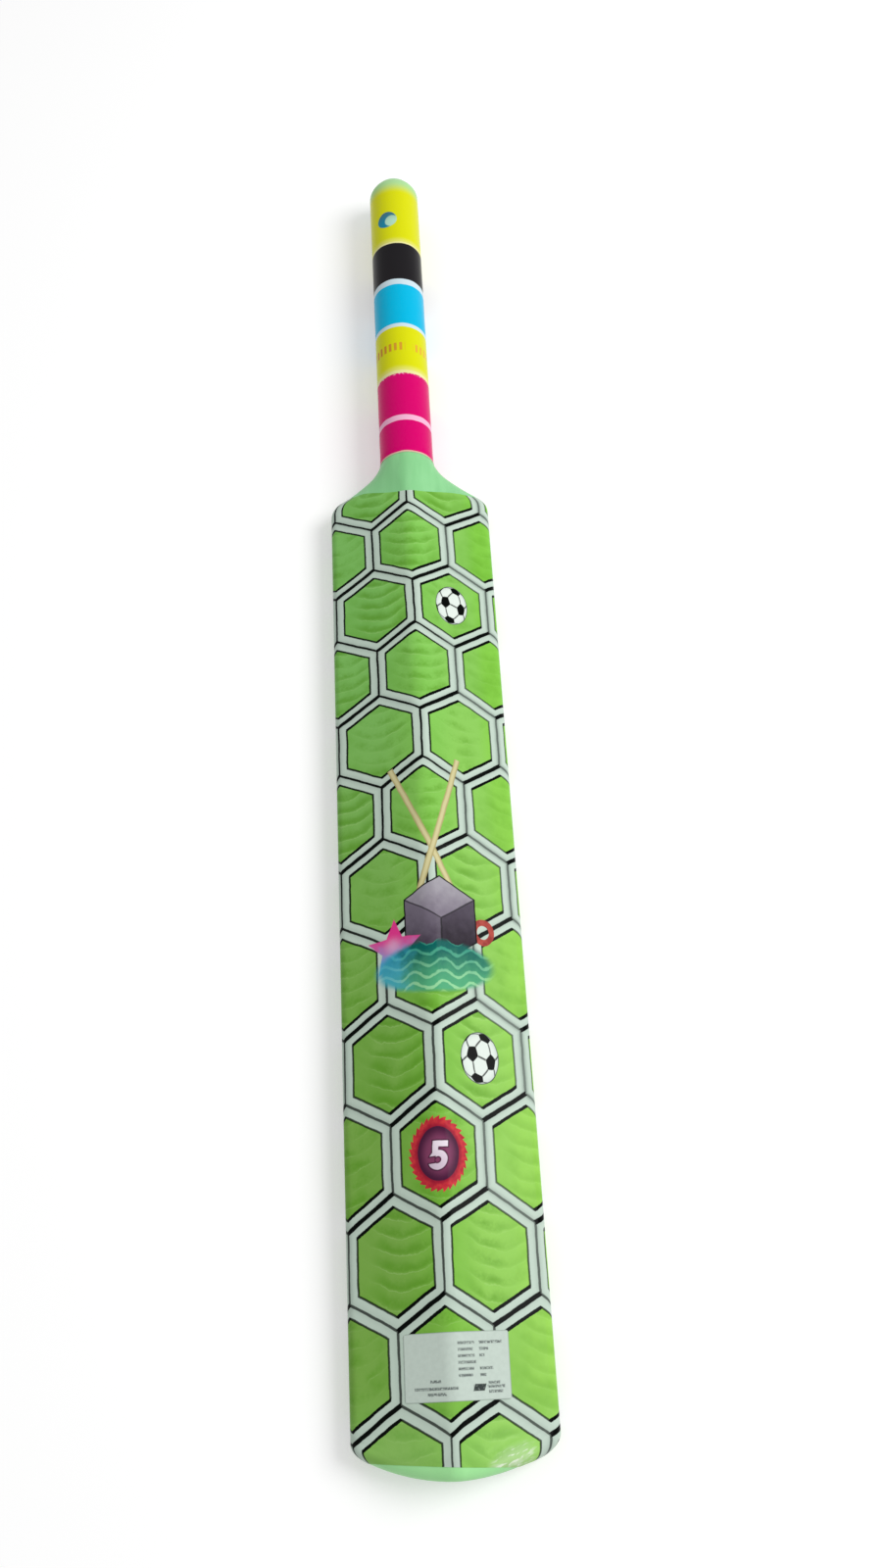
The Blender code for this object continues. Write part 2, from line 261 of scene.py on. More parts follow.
def ring_at(s, side_inset=0.0, face_inset=0.0, handle_scale=1.0):
    """A closed ring of points at s, from the ridge round by +X."""
    wide = half_width(s)
    share = 1 - (1 - (wide - HANDLE_R) / FLARE_ROOM) ** 2
    handle = handle_half(wide * handle_scale, HANDLE_R * handle_scale)
    half = mix(handle, blade_half(wide - side_inset, spine_height(s), edge_height(s), face_inset), share)
    x, height = half[:, 0], half[:, 1]
    x = np.concatenate([x, -x[-2:0:-1]])
    height = np.concatenate([height, height[-2:0:-1]])
    return np.stack([x, TOE_Y + s + toe_sweep(x, s), FACE_Z + height], 1)


print("points in a ring", AROUND, "and found", len(ring_at(0.2)))


# %% [markdown]
# ## Rows of rings
# The rows start round the toe's end face, go over the toe's round corner, up the blade, over the
# shoulders and along the handle, close in over the dome and end in the blow hole.

# %% Rows on the toe's round corner
TOE_STEPS = 12


def toe_rows():
    """The round corner of the toe."""
    rows = []
    for k in range(TOE_STEPS):
        angle = math.pi / 2 * (1 - k / TOE_STEPS)
        pull = 1 - math.cos(angle)
        s = TOE_CORNER_R * (1 - math.sin(angle))
        rows.append((s, dict(side_inset=TOE_CORNER_R * pull, face_inset=TOE_ROUNDING * pull)))
    return rows


# %% Rows along the bat and over the dome
BLADE_ROW = 0.0036
SHOULDER_STEPS = 8
NECK_STEPS = 14
SLOPE_ROW = 0.0016
HANDLE_ROW = 0.0042
ROW_CLEAR = 0.0007


def even_rows(start, end, spacing):
    count = max(1, round((end - start) / spacing))
    return [(mix(start, end, k / count), {}) for k in range(count)]


def long_rows(start, end):
    """Rows from start to end, closer together on the shoulders and the neck."""
    shoulder = [math.sin(SHOULDER_ANGLE * k / SHOULDER_STEPS) for k in range(SHOULDER_STEPS)]
    neck = [math.sin(SHOULDER_ANGLE * (1 - k / NECK_STEPS)) for k in range(NECK_STEPS)]
    marks = [s for s, extra in even_rows(TOE_CORNER_R, BLADE_LENGTH, BLADE_ROW)]
    marks += [BLADE_LENGTH + SHOULDER_R * reach for reach in shoulder]
    marks += [s for s, extra in even_rows(SHOULDER_END, NECK_START, SLOPE_ROW)]
    marks += [NECK_END - NECK_R * reach for reach in neck]
    marks += [s for s, extra in even_rows(NECK_END, DOME_START, HANDLE_ROW)]
    inside = [s for s in marks if start + ROW_CLEAR < s < end - ROW_CLEAR]
    return [(s, {}) for s in [start] + inside + [end]]


DOME_STEPS = 14


def dome_rows():
    rows = []
    for k in range(1, DOME_STEPS + 1):
        angle = DOME_END_ANGLE * k / DOME_STEPS
        rows.append((DOME_START + DOME_DEPTH * math.sin(angle), dict(handle_scale=math.cos(angle))))
    return rows


# %% Points and directions of a set of rows
TINY = 1e-12


def points_of(rows):
    return np.array([ring_at(s, **extra) for s, extra in rows])


def outward(points):
    """Unit normals of a grid of rings, from the steps along and around it."""
    around = np.roll(points, -1, 1) - np.roll(points, 1, 1)
    along = np.gradient(points, axis=0)
    normal = np.cross(around, along)
    return normal / np.maximum(np.linalg.norm(normal, axis=2, keepdims=True), TINY)


print("rows on the toe's corner, along the bat and on the dome",
      len(toe_rows()), len(long_rows(TOE_CORNER_R, DOME_START)), len(dome_rows()))


# %% [markdown]
# ## From a flat grid to a wrapped skin
# A shrink film starts as a flat tube, and a blown shell starts as a soft tube. Both are made the
# same way here: Blender's grid primitive is added with one column for each point of a ring and one
# row for each ring, every point is put where the form says, and the two long edges are welded.
# The open end at the toe is closed with upright strips, one for each step along its rim.

# %% Wrap a grid
def deselect_all():
    for thing in bpy.data.objects:
        thing.select_set(False)


def only(piece):
    """Selects one piece and makes it the active one."""
    deselect_all()
    piece.select_set(True)
    bpy.context.view_layer.objects.active = piece


def wrap_grid(name, points, prints=None):
    """A grid of (rows, columns) points as a mesh, with its map in print coordinates where given."""
    rows, columns = points.shape[:2]
    deselect_all()
    bpy.ops.mesh.primitive_grid_add(x_subdivisions=columns - 1, y_subdivisions=rows - 1, size=1)
    piece = bpy.context.object
    piece.name = name
    mesh = piece.data
    mesh.name = name
    mesh.vertices.foreach_set("co", points.ravel())
    if prints is not None:
        corner = np.empty(len(mesh.loops), int)
        mesh.loops.foreach_get("vertex_index", corner)
        mesh.uv_layers[0].name = "print"
        mesh.uv_layers[0].uv.foreach_set("vector", prints.reshape(-1, 2)[corner].ravel())
    mesh.update()
    return piece


# %% Close the toe
def close_toe(piece, first, seam=0, folded=None):
    """Closes the ring that starts at vertex first with upright strips from the back to the face."""
    bm = bmesh.new()
    bm.from_mesh(piece.data)
    bm.verts.ensure_lookup_table()
    maps = bm.loops.layers.uv.active
    for side in (1, -1):
        for k in range(SIDE):
            top = [(side * k - seam) % AROUND, (side * (k + 1) - seam) % AROUND]
            low = [(side * (HALF - k - 1) - seam) % AROUND, (side * (HALF - k) - seam) % AROUND]
            spots = [bm.verts[first + c] for c in dict.fromkeys(top + low)]
            face = bm.faces.new(spots)
            if folded is not None:
                above = {first + c: folded[0, c] for c in top}
                below = {first + c: folded[1, over] for c, over in zip(low, top[::-1])}
                for loop in face.loops:
                    loop[maps].uv = {**below, **above}[loop.vert.index]
    bm.to_mesh(piece.data)
    bm.free()


# %% Weld, thicken and finish
def edit_all(piece):
    """Opens one piece in edit mode, with all of it selected."""
    only(piece)
    bpy.ops.object.mode_set(mode="EDIT")
    bpy.ops.mesh.select_all(action="SELECT")


def weld(piece, distance=0.00001):
    """Merges points that share a place and turns all faces outwards."""
    edit_all(piece)
    bpy.ops.mesh.remove_doubles(threshold=distance)
    bpy.ops.mesh.normals_make_consistent(inside=False)
    bpy.ops.object.mode_set(mode="OBJECT")


def thicken(piece, thickness):
    """Gives a film its thickness, on the inner side, with its rims closed."""
    only(piece)
    wall = piece.modifiers.new("wall", "SOLIDIFY")
    wall.thickness = thickness
    wall.offset = -1.0
    bpy.ops.object.modifier_apply(modifier=wall.name)


def finish_piece(piece, material, slot, *nodes, sharp=35.0):
    """Smooths a finished piece, gives it its material and lets it stand for its CAD nodes."""
    only(piece)
    bpy.ops.object.shade_smooth_by_angle(angle=math.radians(sharp))
    piece.data.materials.clear()
    piece.data.materials.append(material)
    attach(piece, "root")
    if nodes:
        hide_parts(*nodes)
    print(piece.name, "faces", len(piece.data.polygons))


# %% [markdown]
# ## Patterns as arithmetic
# The looks are made of nodes alone. A print is a drawing, and a drawing is easiest to write down as
# arithmetic on the place on the surface, so a small class lets plus, minus and times add the math
# nodes. A shape is then a distance: positive inside it, negative outside, in mm.

# %% Numbers made of nodes
def plug(node, values):
    """Fills a node's sockets, by name or number: fields and colours are linked, the rest written."""
    for socket, value in values.items():
        if isinstance(value, Field):
            value = value.socket
        if isinstance(value, bpy.types.NodeSocket):
            node.id_data.links.new(value, node.inputs[socket])
        else:
            node.inputs[socket].default_value = value
    return node


def add_node(tree, kind, values):
    return plug(tree.nodes.new("ShaderNode" + kind), values)


class Field:
    """A number that varies over a surface. Arithmetic on it adds math nodes to its material."""

    def __init__(self, socket):
        self.socket = socket
        self.tree = socket.id_data

    def math(self, operation, *others):
        node = add_node(self.tree, "Math", dict(enumerate((self, *others))))
        node.operation = operation
        return Field(node.outputs[0])

    def __add__(self, other):
        return self.math("ADD", other)

    def __sub__(self, other):
        return self.math("SUBTRACT", other)

    def __rsub__(self, other):
        return self.math("MULTIPLY_ADD", -1.0, other)

    def __mul__(self, other):
        return self.math("MULTIPLY", other)

    def __truediv__(self, other):
        return self.math("DIVIDE", other)

    def __abs__(self):
        return self.math("ABSOLUTE")

    __radd__ = __add__
    __rmul__ = __mul__

    def least(self, other):
        return self.math("MINIMUM", other)

    def most(self, other):
        return self.math("MAXIMUM", other)

    def off_whole(self):
        """How far the number is from the nearest whole number, from -0.5 to 0.5."""
        return self - self.math("ROUND")

    def ramp(self, low, high, start=0.0, end=1.0):
        """Goes softly from start to end while the number goes from low to high."""
        node = add_node(self.tree, "MapRange", dict(enumerate((self, low, high, start, end))))
        node.interpolation_type = "SMOOTHSTEP"
        return Field(node.outputs["Result"])

    def cover(self, soft=0.14):
        """The mask of a shape: 1 where the distance is positive, with an edge soft mm wide."""
        return self.ramp(-soft / 2, soft / 2)


def length(x, y):
    """Distance of a place from the middle of a figure."""
    return (x * x + y * y).math("SQRT")


# %% Colours, places and noise
def rgb(*screen):
    """A colour as a screen shows it, 0 to 255, turned into the numbers that a shader wants."""
    return (*(((c / 255 + 0.055) / 1.055) ** 2.4 for c in screen), 1.0)


def blend(mask, under, over):
    """The colour over laid on the colour under where the mask is 1."""
    node = mask.tree.nodes.new("ShaderNodeMix")
    node.data_type = "RGBA"
    return plug(node, {0: mask, 6: under, 7: over}).outputs[2]


def vector(x, y, z=0.0):
    return add_node(x.tree, "CombineXYZ", {0: x, 1: y, 2: z}).outputs[0]


def split(socket):
    """The three numbers of a place or a colour."""
    node = add_node(socket.id_data, "SeparateXYZ", {0: socket})
    return [Field(output) for output in node.outputs]


def on_object(tree):
    """Place on the object itself, in metres."""
    return split(add_node(tree, "TexCoord", {}).outputs["Object"])


def on_map(tree):
    """Place on the piece's own map, named print, as two fields."""
    node = add_node(tree, "UVMap", {})
    node.uv_map = "print"
    return split(node.outputs[0])[:2]


def noise_node(place, scale, detail=2.0):
    values = {"Vector": vector(*place), "Scale": scale, "Detail": detail}
    return add_node(place[0].tree, "TexNoise", values)


def noise(place, scale, detail=2.0):
    """Soft noise about 0.5."""
    return Field(noise_node(place, scale, detail).outputs["Fac"])


print("half grey on a screen is", round(rgb(128, 128, 128)[0], 3), "to a shader")


# %% Materials
def new_material(name, values):
    """A material, its node tree and its shader, whose plain values are set on the shader itself."""
    material = bpy.data.materials.new(name)
    material.use_nodes = True
    shader = material.node_tree.nodes["Principled BSDF"]
    return material, material.node_tree, plug(shader, values)


def dress(shader, colour, rough, relief, strength, distance):
    """Gives a shader its colour, its roughness and its fine relief, on top of what the mesh has."""
    bump = add_node(relief.tree, "Bump", {"Strength": strength, "Distance": distance, "Height": relief})
    plug(shader, {"Base Color": colour, "Roughness": rough, "Normal": bump.outputs[0]})
    print("nodes in a finish", len(relief.tree.nodes))


# %% [markdown]
# ## The moulded shell
# A blown shell is a soft tube pressed by air against two mould halves, so it has a fine raised
# line where the halves met, and a blow hole where the air went in. Outside and inside are one
# wrapped grid: its rows run up the outside, into the blow hole and back down the inside, which is
# the outside moved inwards by the wall. The columns on the parting line stand out a little.

# %% The shell
BEAD_HEIGHT = 0.00012
WALL = 0.0022
BESIDE_BEAD = 0.75
INSIDE_STARTS = 7
LAND_STEPS = 4
HOLE_STEPS = 3


def parting_line():
    """How strongly each column stands on the mould's parting line."""
    lift = np.zeros(AROUND)
    for side in (SIDE, AROUND - SIDE):
        lift[side - 1:side + 2] = BESIDE_BEAD
        lift[side] = 1.0
    return lift


def hole_rows():
    """The land round the blow hole and the hole's short wall, as scaled circles of the handle."""
    start = (BLOW_HOLE_R + HOLE_LAND) / HANDLE_R
    end = BLOW_HOLE_R / HANDLE_R
    rows = [(LAND_S, dict(handle_scale=mix(start, end, k / LAND_STEPS))) for k in range(1, LAND_STEPS + 1)]
    rows += [(LAND_S - WALL * k / HOLE_STEPS, dict(handle_scale=end)) for k in range(1, HOLE_STEPS + 1)]
    return rows


def make_shell(material):
    rows = toe_rows() + long_rows(TOE_CORNER_R, DOME_START) + dome_rows()
    points = points_of(rows)
    away = outward(points)
    outside = points + away * parting_line()[None, :, None] * BEAD_HEIGHT
    inside = (points - away * WALL)[:INSIDE_STARTS - 1:-2]
    grid = np.concatenate([outside, points_of(hole_rows()), inside])
    shell = wrap_grid("moulded_shell", np.concatenate([grid, grid[:, :1]], 1))
    close_toe(shell, 0)
    close_toe(shell, (len(grid) - 1) * (AROUND + 1))
    weld(shell)
    finish_piece(shell, material, "mint_plastic", "bat_body")
    return shell


# %% [markdown]
# ## Mint plastic
# Blown polyethylene is waxy: its gloss is soft, and its colour is streaky along the tube. The
# streaks are noise stretched along the bat. Near the toe the plastic is painted paler: painted
# light, for the brighter toe end.

# %% The shell's material, and the shell
MINT_LIGHT = rgb(142, 212, 147)
MINT_DEEP = rgb(130, 202, 136)
MINT_PAINTED_LIGHT = rgb(180, 249, 168)
MINT_PAINTED_LIGHT_SPAN = (TOE_Y + 0.004, TOE_Y + 0.030)
STREAKS_ACROSS = 160
STREAKS_ALONG = 22
CLOUDS = 38.0
SKIN = 900.0
SHELL_ROUGH = 0.36


def mint_plastic(name, light, deep, roughness):
    material, tree, shader = new_material(name, {"Specular IOR Level": 0.35})
    x, y, z = on_object(tree)
    streaks = noise((x * STREAKS_ACROSS, y * STREAKS_ALONG, z * STREAKS_ACROSS), 1.0, 3.0)
    clouds = noise((x, y, z), CLOUDS)
    colour = blend((streaks * 0.6 + clouds * 0.4).ramp(0.36, 0.66), deep, light)
    # painted light: the mint turns paler toward the toe's end
    colour = blend(y.ramp(*MINT_PAINTED_LIGHT_SPAN, 0.6, 0.0), colour, MINT_PAINTED_LIGHT)
    rough = clouds.ramp(0.3, 0.7, roughness - 0.05, roughness + 0.07)
    skin = noise((x, y, z), SKIN)
    dress(shader, colour, rough, skin + streaks * 0.8, 0.10, 0.0004)
    return material


shell = make_shell(mint_plastic("mint plastic", MINT_LIGHT, MINT_DEEP, SHELL_ROUGH))


# %% [markdown]
# ## The printed film on the blade
# The film is drawn over the toe's corners and cut off a little askew there. At the shoulders it
# ends in an almost straight edge, and at both ends it clings to the shell. Its map holds print
# coordinates: how far round the film a point is, and how far along it, as a printer's drum has it.

# %% A film's thickness and its ends
FILM_T = 0.0001
FILM_CLING = 0.00018
CLING_OVER = 0.0045


def cling(from_start, to_end):
    """0 at a film's cut ends, where it clings to the shell, and 1 where it stands clear."""
    return smooth(from_start / CLING_OVER) * smooth(to_end / CLING_OVER)


# %% Distances on a film
def round_film(points, seam):
    """Distance round the film from the ridge for each column, taken on one ring of the blade."""
    step = np.linalg.norm(np.roll(points, -1, 0) - points, axis=1)
    reach = np.concatenate([[0.0], np.cumsum(step)])
    column = np.arange(AROUND + 1) + seam
    distance = reach[column % AROUND]
    return np.where(column < AROUND, distance - reach[-1], distance)


def along_film(points, rows):
    """Distance along the film from the toe's tip: plan distance, but round the corner at the toe."""
    plan = points[:, :, 1] - TOE_Y
    turn = next(k for k, (s, extra) in enumerate(rows) if s > TOE_BLEND)
    step = np.linalg.norm(np.diff(points[:turn + 1], axis=0), axis=2)
    to_turn = np.cumsum(step[::-1], axis=0)[::-1]
    plan[:turn] = plan[turn] - to_turn
    return plan


# %% [markdown]
# ## Edge, folds and map of the film
# A film shrinks most where it is free: its upper edge climbs the shoulders, and small folds form
# where it is drawn in round the toe's corners. They could be pushed into the mesh with a sculpt
# brush, but written as functions of the place on the bat they are easy to move and to measure.
# The toe's end of the film is cut with the bisect operator, as a knife would cut it.

# %% The film's upper edge
EDGE_FROM = 0.468
EDGE_DROP = 0.0003
EDGE_CLIMB_LEFT = 0.0078
EDGE_CLIMB_RIGHT = 0.0047
CLIMB_REACH = 0.034


def film_edge_shift(x):
    """The film's upper edge is lowest on the ridge and climbs to the shoulders, more on the left."""
    climb = np.where(x < 0, EDGE_CLIMB_LEFT, EDGE_CLIMB_RIGHT)
    return climb * smooth(np.abs(x) / CLIMB_REACH) - EDGE_DROP


FORM_BELOW = 0.01
FORM_ABOVE = 0.014
FORM_ROW = 0.0007


def climb_shoulders(skin, spots):
    """Moves the film's upper rows along the form, so that its edge follows film_edge_shift."""
    dense = np.arange(EDGE_FROM - FORM_BELOW, FILM_END + FORM_ABOVE, FORM_ROW)
    form = np.array([ring_at(s) for s in dense])
    moved = spots + film_edge_shift(form[0, :, 0]) * smooth((spots - EDGE_FROM) / (FILM_END - EDGE_FROM))
    upper = spots[:, 0] > EDGE_FROM
    for column in range(AROUND):
        for axis in range(3):
            skin[upper, column, axis] = np.interp(moved[upper, column], dense, form[:, column, axis])


# %% Folds and the cut end
FOLD_DEPTH = 0.00046
FOLD_PITCH = 0.0036
FOLD_LEAN = 0.42
FOLD_SPOTS = ((0.026, 0.011, 0.011, 0.006, 1.0), (-0.037, 0.011, 0.007, 0.005, 0.5))


def toe_folds(x, s):
    """Depth of the small folds where the film is drawn in at the toe's corners, most on the right."""
    deep = 0.0
    for at_x, at_s, wide, long, share in FOLD_SPOTS:
        deep = deep + share * np.exp(-((x - at_x) / wide) ** 2 - ((s - at_s) / long) ** 2)
    uneven = 1.2 * np.sin(x * 260) + 0.7 * np.sin(x * 610 + s * 300)
    phase = 2 * math.pi * (s - np.abs(x) * FOLD_LEAN) / FOLD_PITCH + uneven
    return FOLD_DEPTH * deep * (0.5 + 0.5 * np.sin(phase))


CUT_TILT = math.radians(3.9)
ON_CUT = 0.000001


def cut_end(piece, y):
    """Cuts off everything below y, a little askew, as the film's end was cut."""
    edit_all(piece)
    along = (math.sin(CUT_TILT), math.cos(CUT_TILT), 0)
    bpy.ops.mesh.bisect(plane_co=(0, y, 0), plane_no=along, clear_inner=True, threshold=ON_CUT)
    bpy.ops.object.mode_set(mode="OBJECT")


# %% The film's map
MIDDLE_S = 0.25


def print_map(place):
    """Turns places on the film into print coordinates: cells across, and pairs of rows down.

    The film shrank unevenly, so rows lie closer toward the handle and columns wander a little."""
    across, along = np.clip(place[:, :, 0], -1.2, 1.2), place[:, :, 1]
    h = (along - MIDDLE_S) / MIDDLE_S
    down = 2.941 - 2.969 * h - 0.160 * h**2 - 0.0535 * h**3 + 0.0627 * h**4
    down = down + (0.0193 * h - 0.0072) * across**2
    wander = -0.041 - 0.022 * h + 0.045 * h**2 - 0.013 * np.sin(2 * math.pi * (along - 0.275) / 0.38)
    sideways = 0.039 + 1.007 * place[:, :, 0] + 0.019 * across * h + wander * np.maximum(1 - across**2, 0)
    return np.stack([sideways, down], 2)


# %% The blade's film
SEAM_X = -0.030
CELL_WIDTH = 0.0460
TOE_MARKS_STEP = 0.0009
TOE_MARKS_COUNT = 26
TOE_MARKS = [TOE_CORNER_R + TOE_MARKS_STEP * k for k in range(TOE_MARKS_COUNT)]
EDGE_ROW = 0.0012


def make_blade_film(material):
    rows = toe_rows() + [(s, {}) for s in TOE_MARKS]
    rows += long_rows(TOE_MARKS[-1] + TOE_MARKS_STEP, EDGE_FROM)
    rows += even_rows(EDGE_FROM + EDGE_ROW, FILM_END, EDGE_ROW) + [(FILM_END, {})]
    skin = points_of(rows)
    spots = np.array([s for s, extra in rows])[:, None]
    climb_shoulders(skin, spots)
    seam = HALF + int(np.argmin(np.abs(skin[len(rows) // 2, HALF:, 0] - SEAM_X)))
    to_cut = skin[:, :, 1] - TOE_Y - FILM_CUT + skin[:, :, 0] * math.tan(CUT_TILT)
    clear = cling(to_cut, FILM_END - spots)
    reach = mix(FILM_CLING, FILM_REACH, clear) - toe_folds(skin[:, :, 0], spots) * clear
    outer = skin + outward(skin) * reach[:, :, None]
    columns = (np.arange(AROUND + 1) + seam) % AROUND
    middle = int(np.argmin(np.abs(spots[:, 0] - MIDDLE_S)))
    across = round_film(outer[middle], seam) / CELL_WIDTH
    along = along_film(outer, rows)[:, columns]
    prints = np.stack([np.broadcast_to(across, along.shape), along], 2)
    film = wrap_grid("blade_film", outer[:, columns], print_map(prints))
    folded = np.stack([prints[0], prints[0]])
    folded[1, :, 1] -= outer[0, columns, 2] - FACE_Z
    close_toe(film, 0, seam, print_map(folded))
    weld(film)
    cut_end(film, TOE_Y + FILM_CUT)
    thicken(film, FILM_T)
    finish_piece(film, material, "printed_film", "blade_sleeve")
    return film


# %% [markdown]
# ## The print: a honeycomb
# The film is printed with a honeycomb drawn by hand: dark lines where cells meet, a pale band on
# each side, a thin outline, and a green cell with brushed arcs in it. There are two sets of cells,
# one with its centres on whole numbers across, and one halfway between. For each point the set that
# it lies in is picked, and the distances to the three kinds of edge follow.

# %% Honeycomb
CELL_HALF = 0.3285
CELL_SLOPE = 0.314
EDGE_COS = 0.868
FIRST_ROW = 0.3285
SECOND_ROW = 0.8285
BAND = 4.75
HAND = 0.9
ACROSS_MM = CELL_WIDTH * 1000
DOWN_MM = 84.0
PAIR_AT_TOP = 79.0
PAIR_GROWS = 1.7
PAIR_MOST = 86.0


def honeycomb(tree):
    """The fields that the print is drawn from, each in mm unless it is a place in the print."""
    across, down = on_map(tree)
    paper = (across * ACROSS_MM, down * DOWN_MM)
    shake = [number - 0.5 for number in split(noise_node(paper, 0.11).outputs["Color"])]
    across = across + shake[0] * (HAND / ACROSS_MM)
    down = down + shake[1] * (HAND / DOWN_MM)
    pitch = (down * PAIR_GROWS + PAIR_AT_TOP).least(PAIR_MOST)
    ax, ay = across.off_whole(), (down - FIRST_ROW).off_whole()
    bx, by = (across - 0.5).off_whole(), (down - SECOND_ROW).off_whole()
    in_a = (CELL_HALF - abs(ay) - abs(ax) * CELL_SLOPE).math("GREATER_THAN", 0.0)
    x = bx + (ax - bx) * in_a
    y = by + (ay - by) * in_a
    lean = x * CELL_SLOPE
    to_mm = pitch * EDGE_COS
    rising = (CELL_HALF - abs(y + lean)) * to_mm
    falling = (CELL_HALF - abs(y - lean)) * to_mm
    upright = (0.5 - abs(x)) * ACROSS_MM
    cell = vector(((across - x) * 2).math("ROUND"), ((down - y) * 2 - 2 * FIRST_ROW).math("ROUND"))
    dice = add_node(tree, "TexWhiteNoise", {"Vector": cell})
    dice.noise_dimensions = "2D"
    return dict(across=across, down=down, pitch=pitch, paper=paper, x=x * ACROSS_MM, y=y * pitch,
                rising=rising, falling=falling, upright=upright, dice=split(dice.outputs["Color"]))


print("a cell is", ACROSS_MM, "mm wide, and two rows take", PAIR_AT_TOP, "to", PAIR_MOST, "mm")


# %% [markdown]
# ## Bands, lines and brushed cells
# The pale bands and the lines come from the edge distances. Rising edges have bold lines, the
# others thin ones, and on the right half those fade to a wide grey shade, but not at the toe. The
# green is lighter to the right, differs from cell to cell, and has arcs brushed over it that hang
# like smiles. Each arc is dark below and ends in a thin gleam.

# %% Brushed green
GREEN_LEFT = (rgb(131, 196, 101), rgb(126, 175, 78))
GREENS = (((-0.55, 0.05), rgb(136, 203, 95), rgb(128, 190, 72)),
          ((0.05, 0.55), rgb(138, 200, 94), rgb(149, 206, 92)),
          ((0.70, 0.95), rgb(130, 200, 72), rgb(154, 212, 91)))
GREEN_DEEP = rgb(90, 158, 30)
BRUSH_GREEN = rgb(88, 150, 30)
GLEAM = rgb(190, 226, 150)
TOE_FADE = (TOE_Y + 0.008, TOE_Y + 0.040)
TOE_PALE = rgb(172, 228, 132)
ARC_PITCH = 7.4
ARC_CURVE = 0.022
ARC_SHADE = 0.62
ARC_GLEAM = 0.22


def brushed_green(cells):
    """The green inside the cells, with its arcs."""
    across, x, y, paper = [cells[name] for name in ("across", "x", "y", "paper")]
    phase, strength, tint = cells["dice"]
    lower = cells["down"].ramp(0.5, 4.5)
    green = blend(lower, *GREEN_LEFT)
    for reach, upper_green, lower_green in GREENS:
        green = blend(across.ramp(*reach), green, blend(lower, upper_green, lower_green))
    clouds = noise(paper, 0.09)
    fine = noise(paper, 0.7)
    deeper = tint * 0.45 + (clouds - 0.45) * 1.6 + y * 0.012 - x * 0.008
    green = blend(deeper.ramp(0.0, 1.0, 0.0, 0.32), green, GREEN_DEEP)
    bent = x - 2.5 + (phase - 0.5) * 6
    hang = y + bent * bent * ARC_CURVE + (fine - 0.5) * 1.4 + (clouds - 0.5) * 5
    part = (hang / ARC_PITCH + phase * 3).math("FRACT")
    stroke = part.ramp(0.05, 0.72) * part.ramp(0.74, 0.98, 1.0, 0.0)
    worn = (clouds * 0.8 + fine * 0.35 + strength * 0.35).ramp(0.45, 0.9)
    worn = worn * abs(bent).ramp(8.0, 19.0, 1.0, 0.1) * across.ramp(0.45, 0.75, 1.0, 0.35)
    green = blend(stroke * worn * ARC_SHADE, green, BRUSH_GREEN)
    gleam = part.ramp(0.88, 0.95) * part.ramp(0.95, 1.0, 1.0, 0.0) * worn
    green = blend(gleam * ARC_GLEAM, green, GLEAM)
    return blend(on_object(across.tree)[1].ramp(*TOE_FADE, 0.3, 0.0), green, TOE_PALE)


# %% Bands and lines
BAND_PALE = rgb(194, 212, 198)
BAND_GREY = rgb(156, 172, 161)
INK = rgb(3, 7, 5)
BOLD_HALF = 0.76
THIN_HALF = 0.52
BOLD_MEET_HALF = 1.06
THIN_MEET_HALF = 0.62
RAGGED = 0.4
NEAR_TOE = (3.9, 5.1)


def draw_honeycomb(cells):
    rising, down = cells["rising"], cells["down"]
    thin = cells["falling"].least(cells["upright"])
    edge = rising.least(thin)
    ragged = (noise(cells["paper"], 1.1) - 0.5) * RAGGED
    right = cells["across"].ramp(0.1, 0.7) * down.ramp(*NEAR_TOE, 1.0, 0.2)
    shade = edge.ramp(0.2, 3.0, 1.0, 0.0) * down.ramp(*NEAR_TOE, 0.42, 0.26)
    shade = shade + right * thin.ramp(0.6, 2.2, 0.45, 0.0)
    colour = blend(shade, BAND_PALE, BAND_GREY)
    colour = blend((edge - BAND).cover(0.3), colour, brushed_green(cells))
    bold_line = (BOLD_HALF - abs(rising - BAND) + ragged).cover(0.25) * (thin - BAND + 0.4).cover(0.3)
    thin_line = (THIN_HALF - abs(thin - BAND) + ragged * 0.6).cover(0.4) * (rising - BAND + 0.3).cover(0.3)
    bold_meet = (BOLD_MEET_HALF - rising + ragged * 0.5).cover(0.3)
    fades = right * 0.35 + down.ramp(2.6, 4.0, 0.0, 0.12)
    thin_meet = (THIN_MEET_HALF - thin + ragged * 0.4).cover(0.4) * (1.0 - fades)
    ink = bold_line.most(thin_line * (0.98 - fades * 0.6)).most(bold_meet).most(thin_meet)
    return blend(ink.least(1.0), colour, INK)


# %% [markdown]
# ## Figures in the print
# Two cells hold a football, and one a round badge with the number 5. The football is worked out on
# a real ball: each point is lifted to the ball's surface, and its panel is the one of the twelve
# pentagons and twenty hexagons that faces it most. The badge is ovals, teeth and a few bars.

# %% Panels of a football
GOLDEN = (1 + math.sqrt(5)) / 2


def ball_axes():
    """Directions of the pentagons and the hexagons of a football, one of each opposite pair."""
    pentagons, hexagons = [], [(1, a, b) for a in (1, -1) for b in (1, -1)]
    for shift in range(3):
        for sign in (1, -1):
            pentagon, hexagon = (0, sign, GOLDEN), (sign / GOLDEN, 0, GOLDEN)
            pentagons.append(pentagon[shift:] + pentagon[:shift])
            hexagons.append(hexagon[shift:] + hexagon[:shift])
    return pentagons, hexagons


print("panels of the ball, without the opposite ones", [len(axes) for axes in ball_axes()])


# %% A football drawn
BALL_RX = 10.0
BALL_RY = 12.2
BALL_TURN = {"X": 24, "Y": -20, "Z": 12}
PENTAGON_REACH = 0.9393
HEXAGON_REACH = 0.9149
BALL_WHITE = (rgb(190, 202, 196), rgb(226, 236, 228))
BALL_SEAM = 0.055


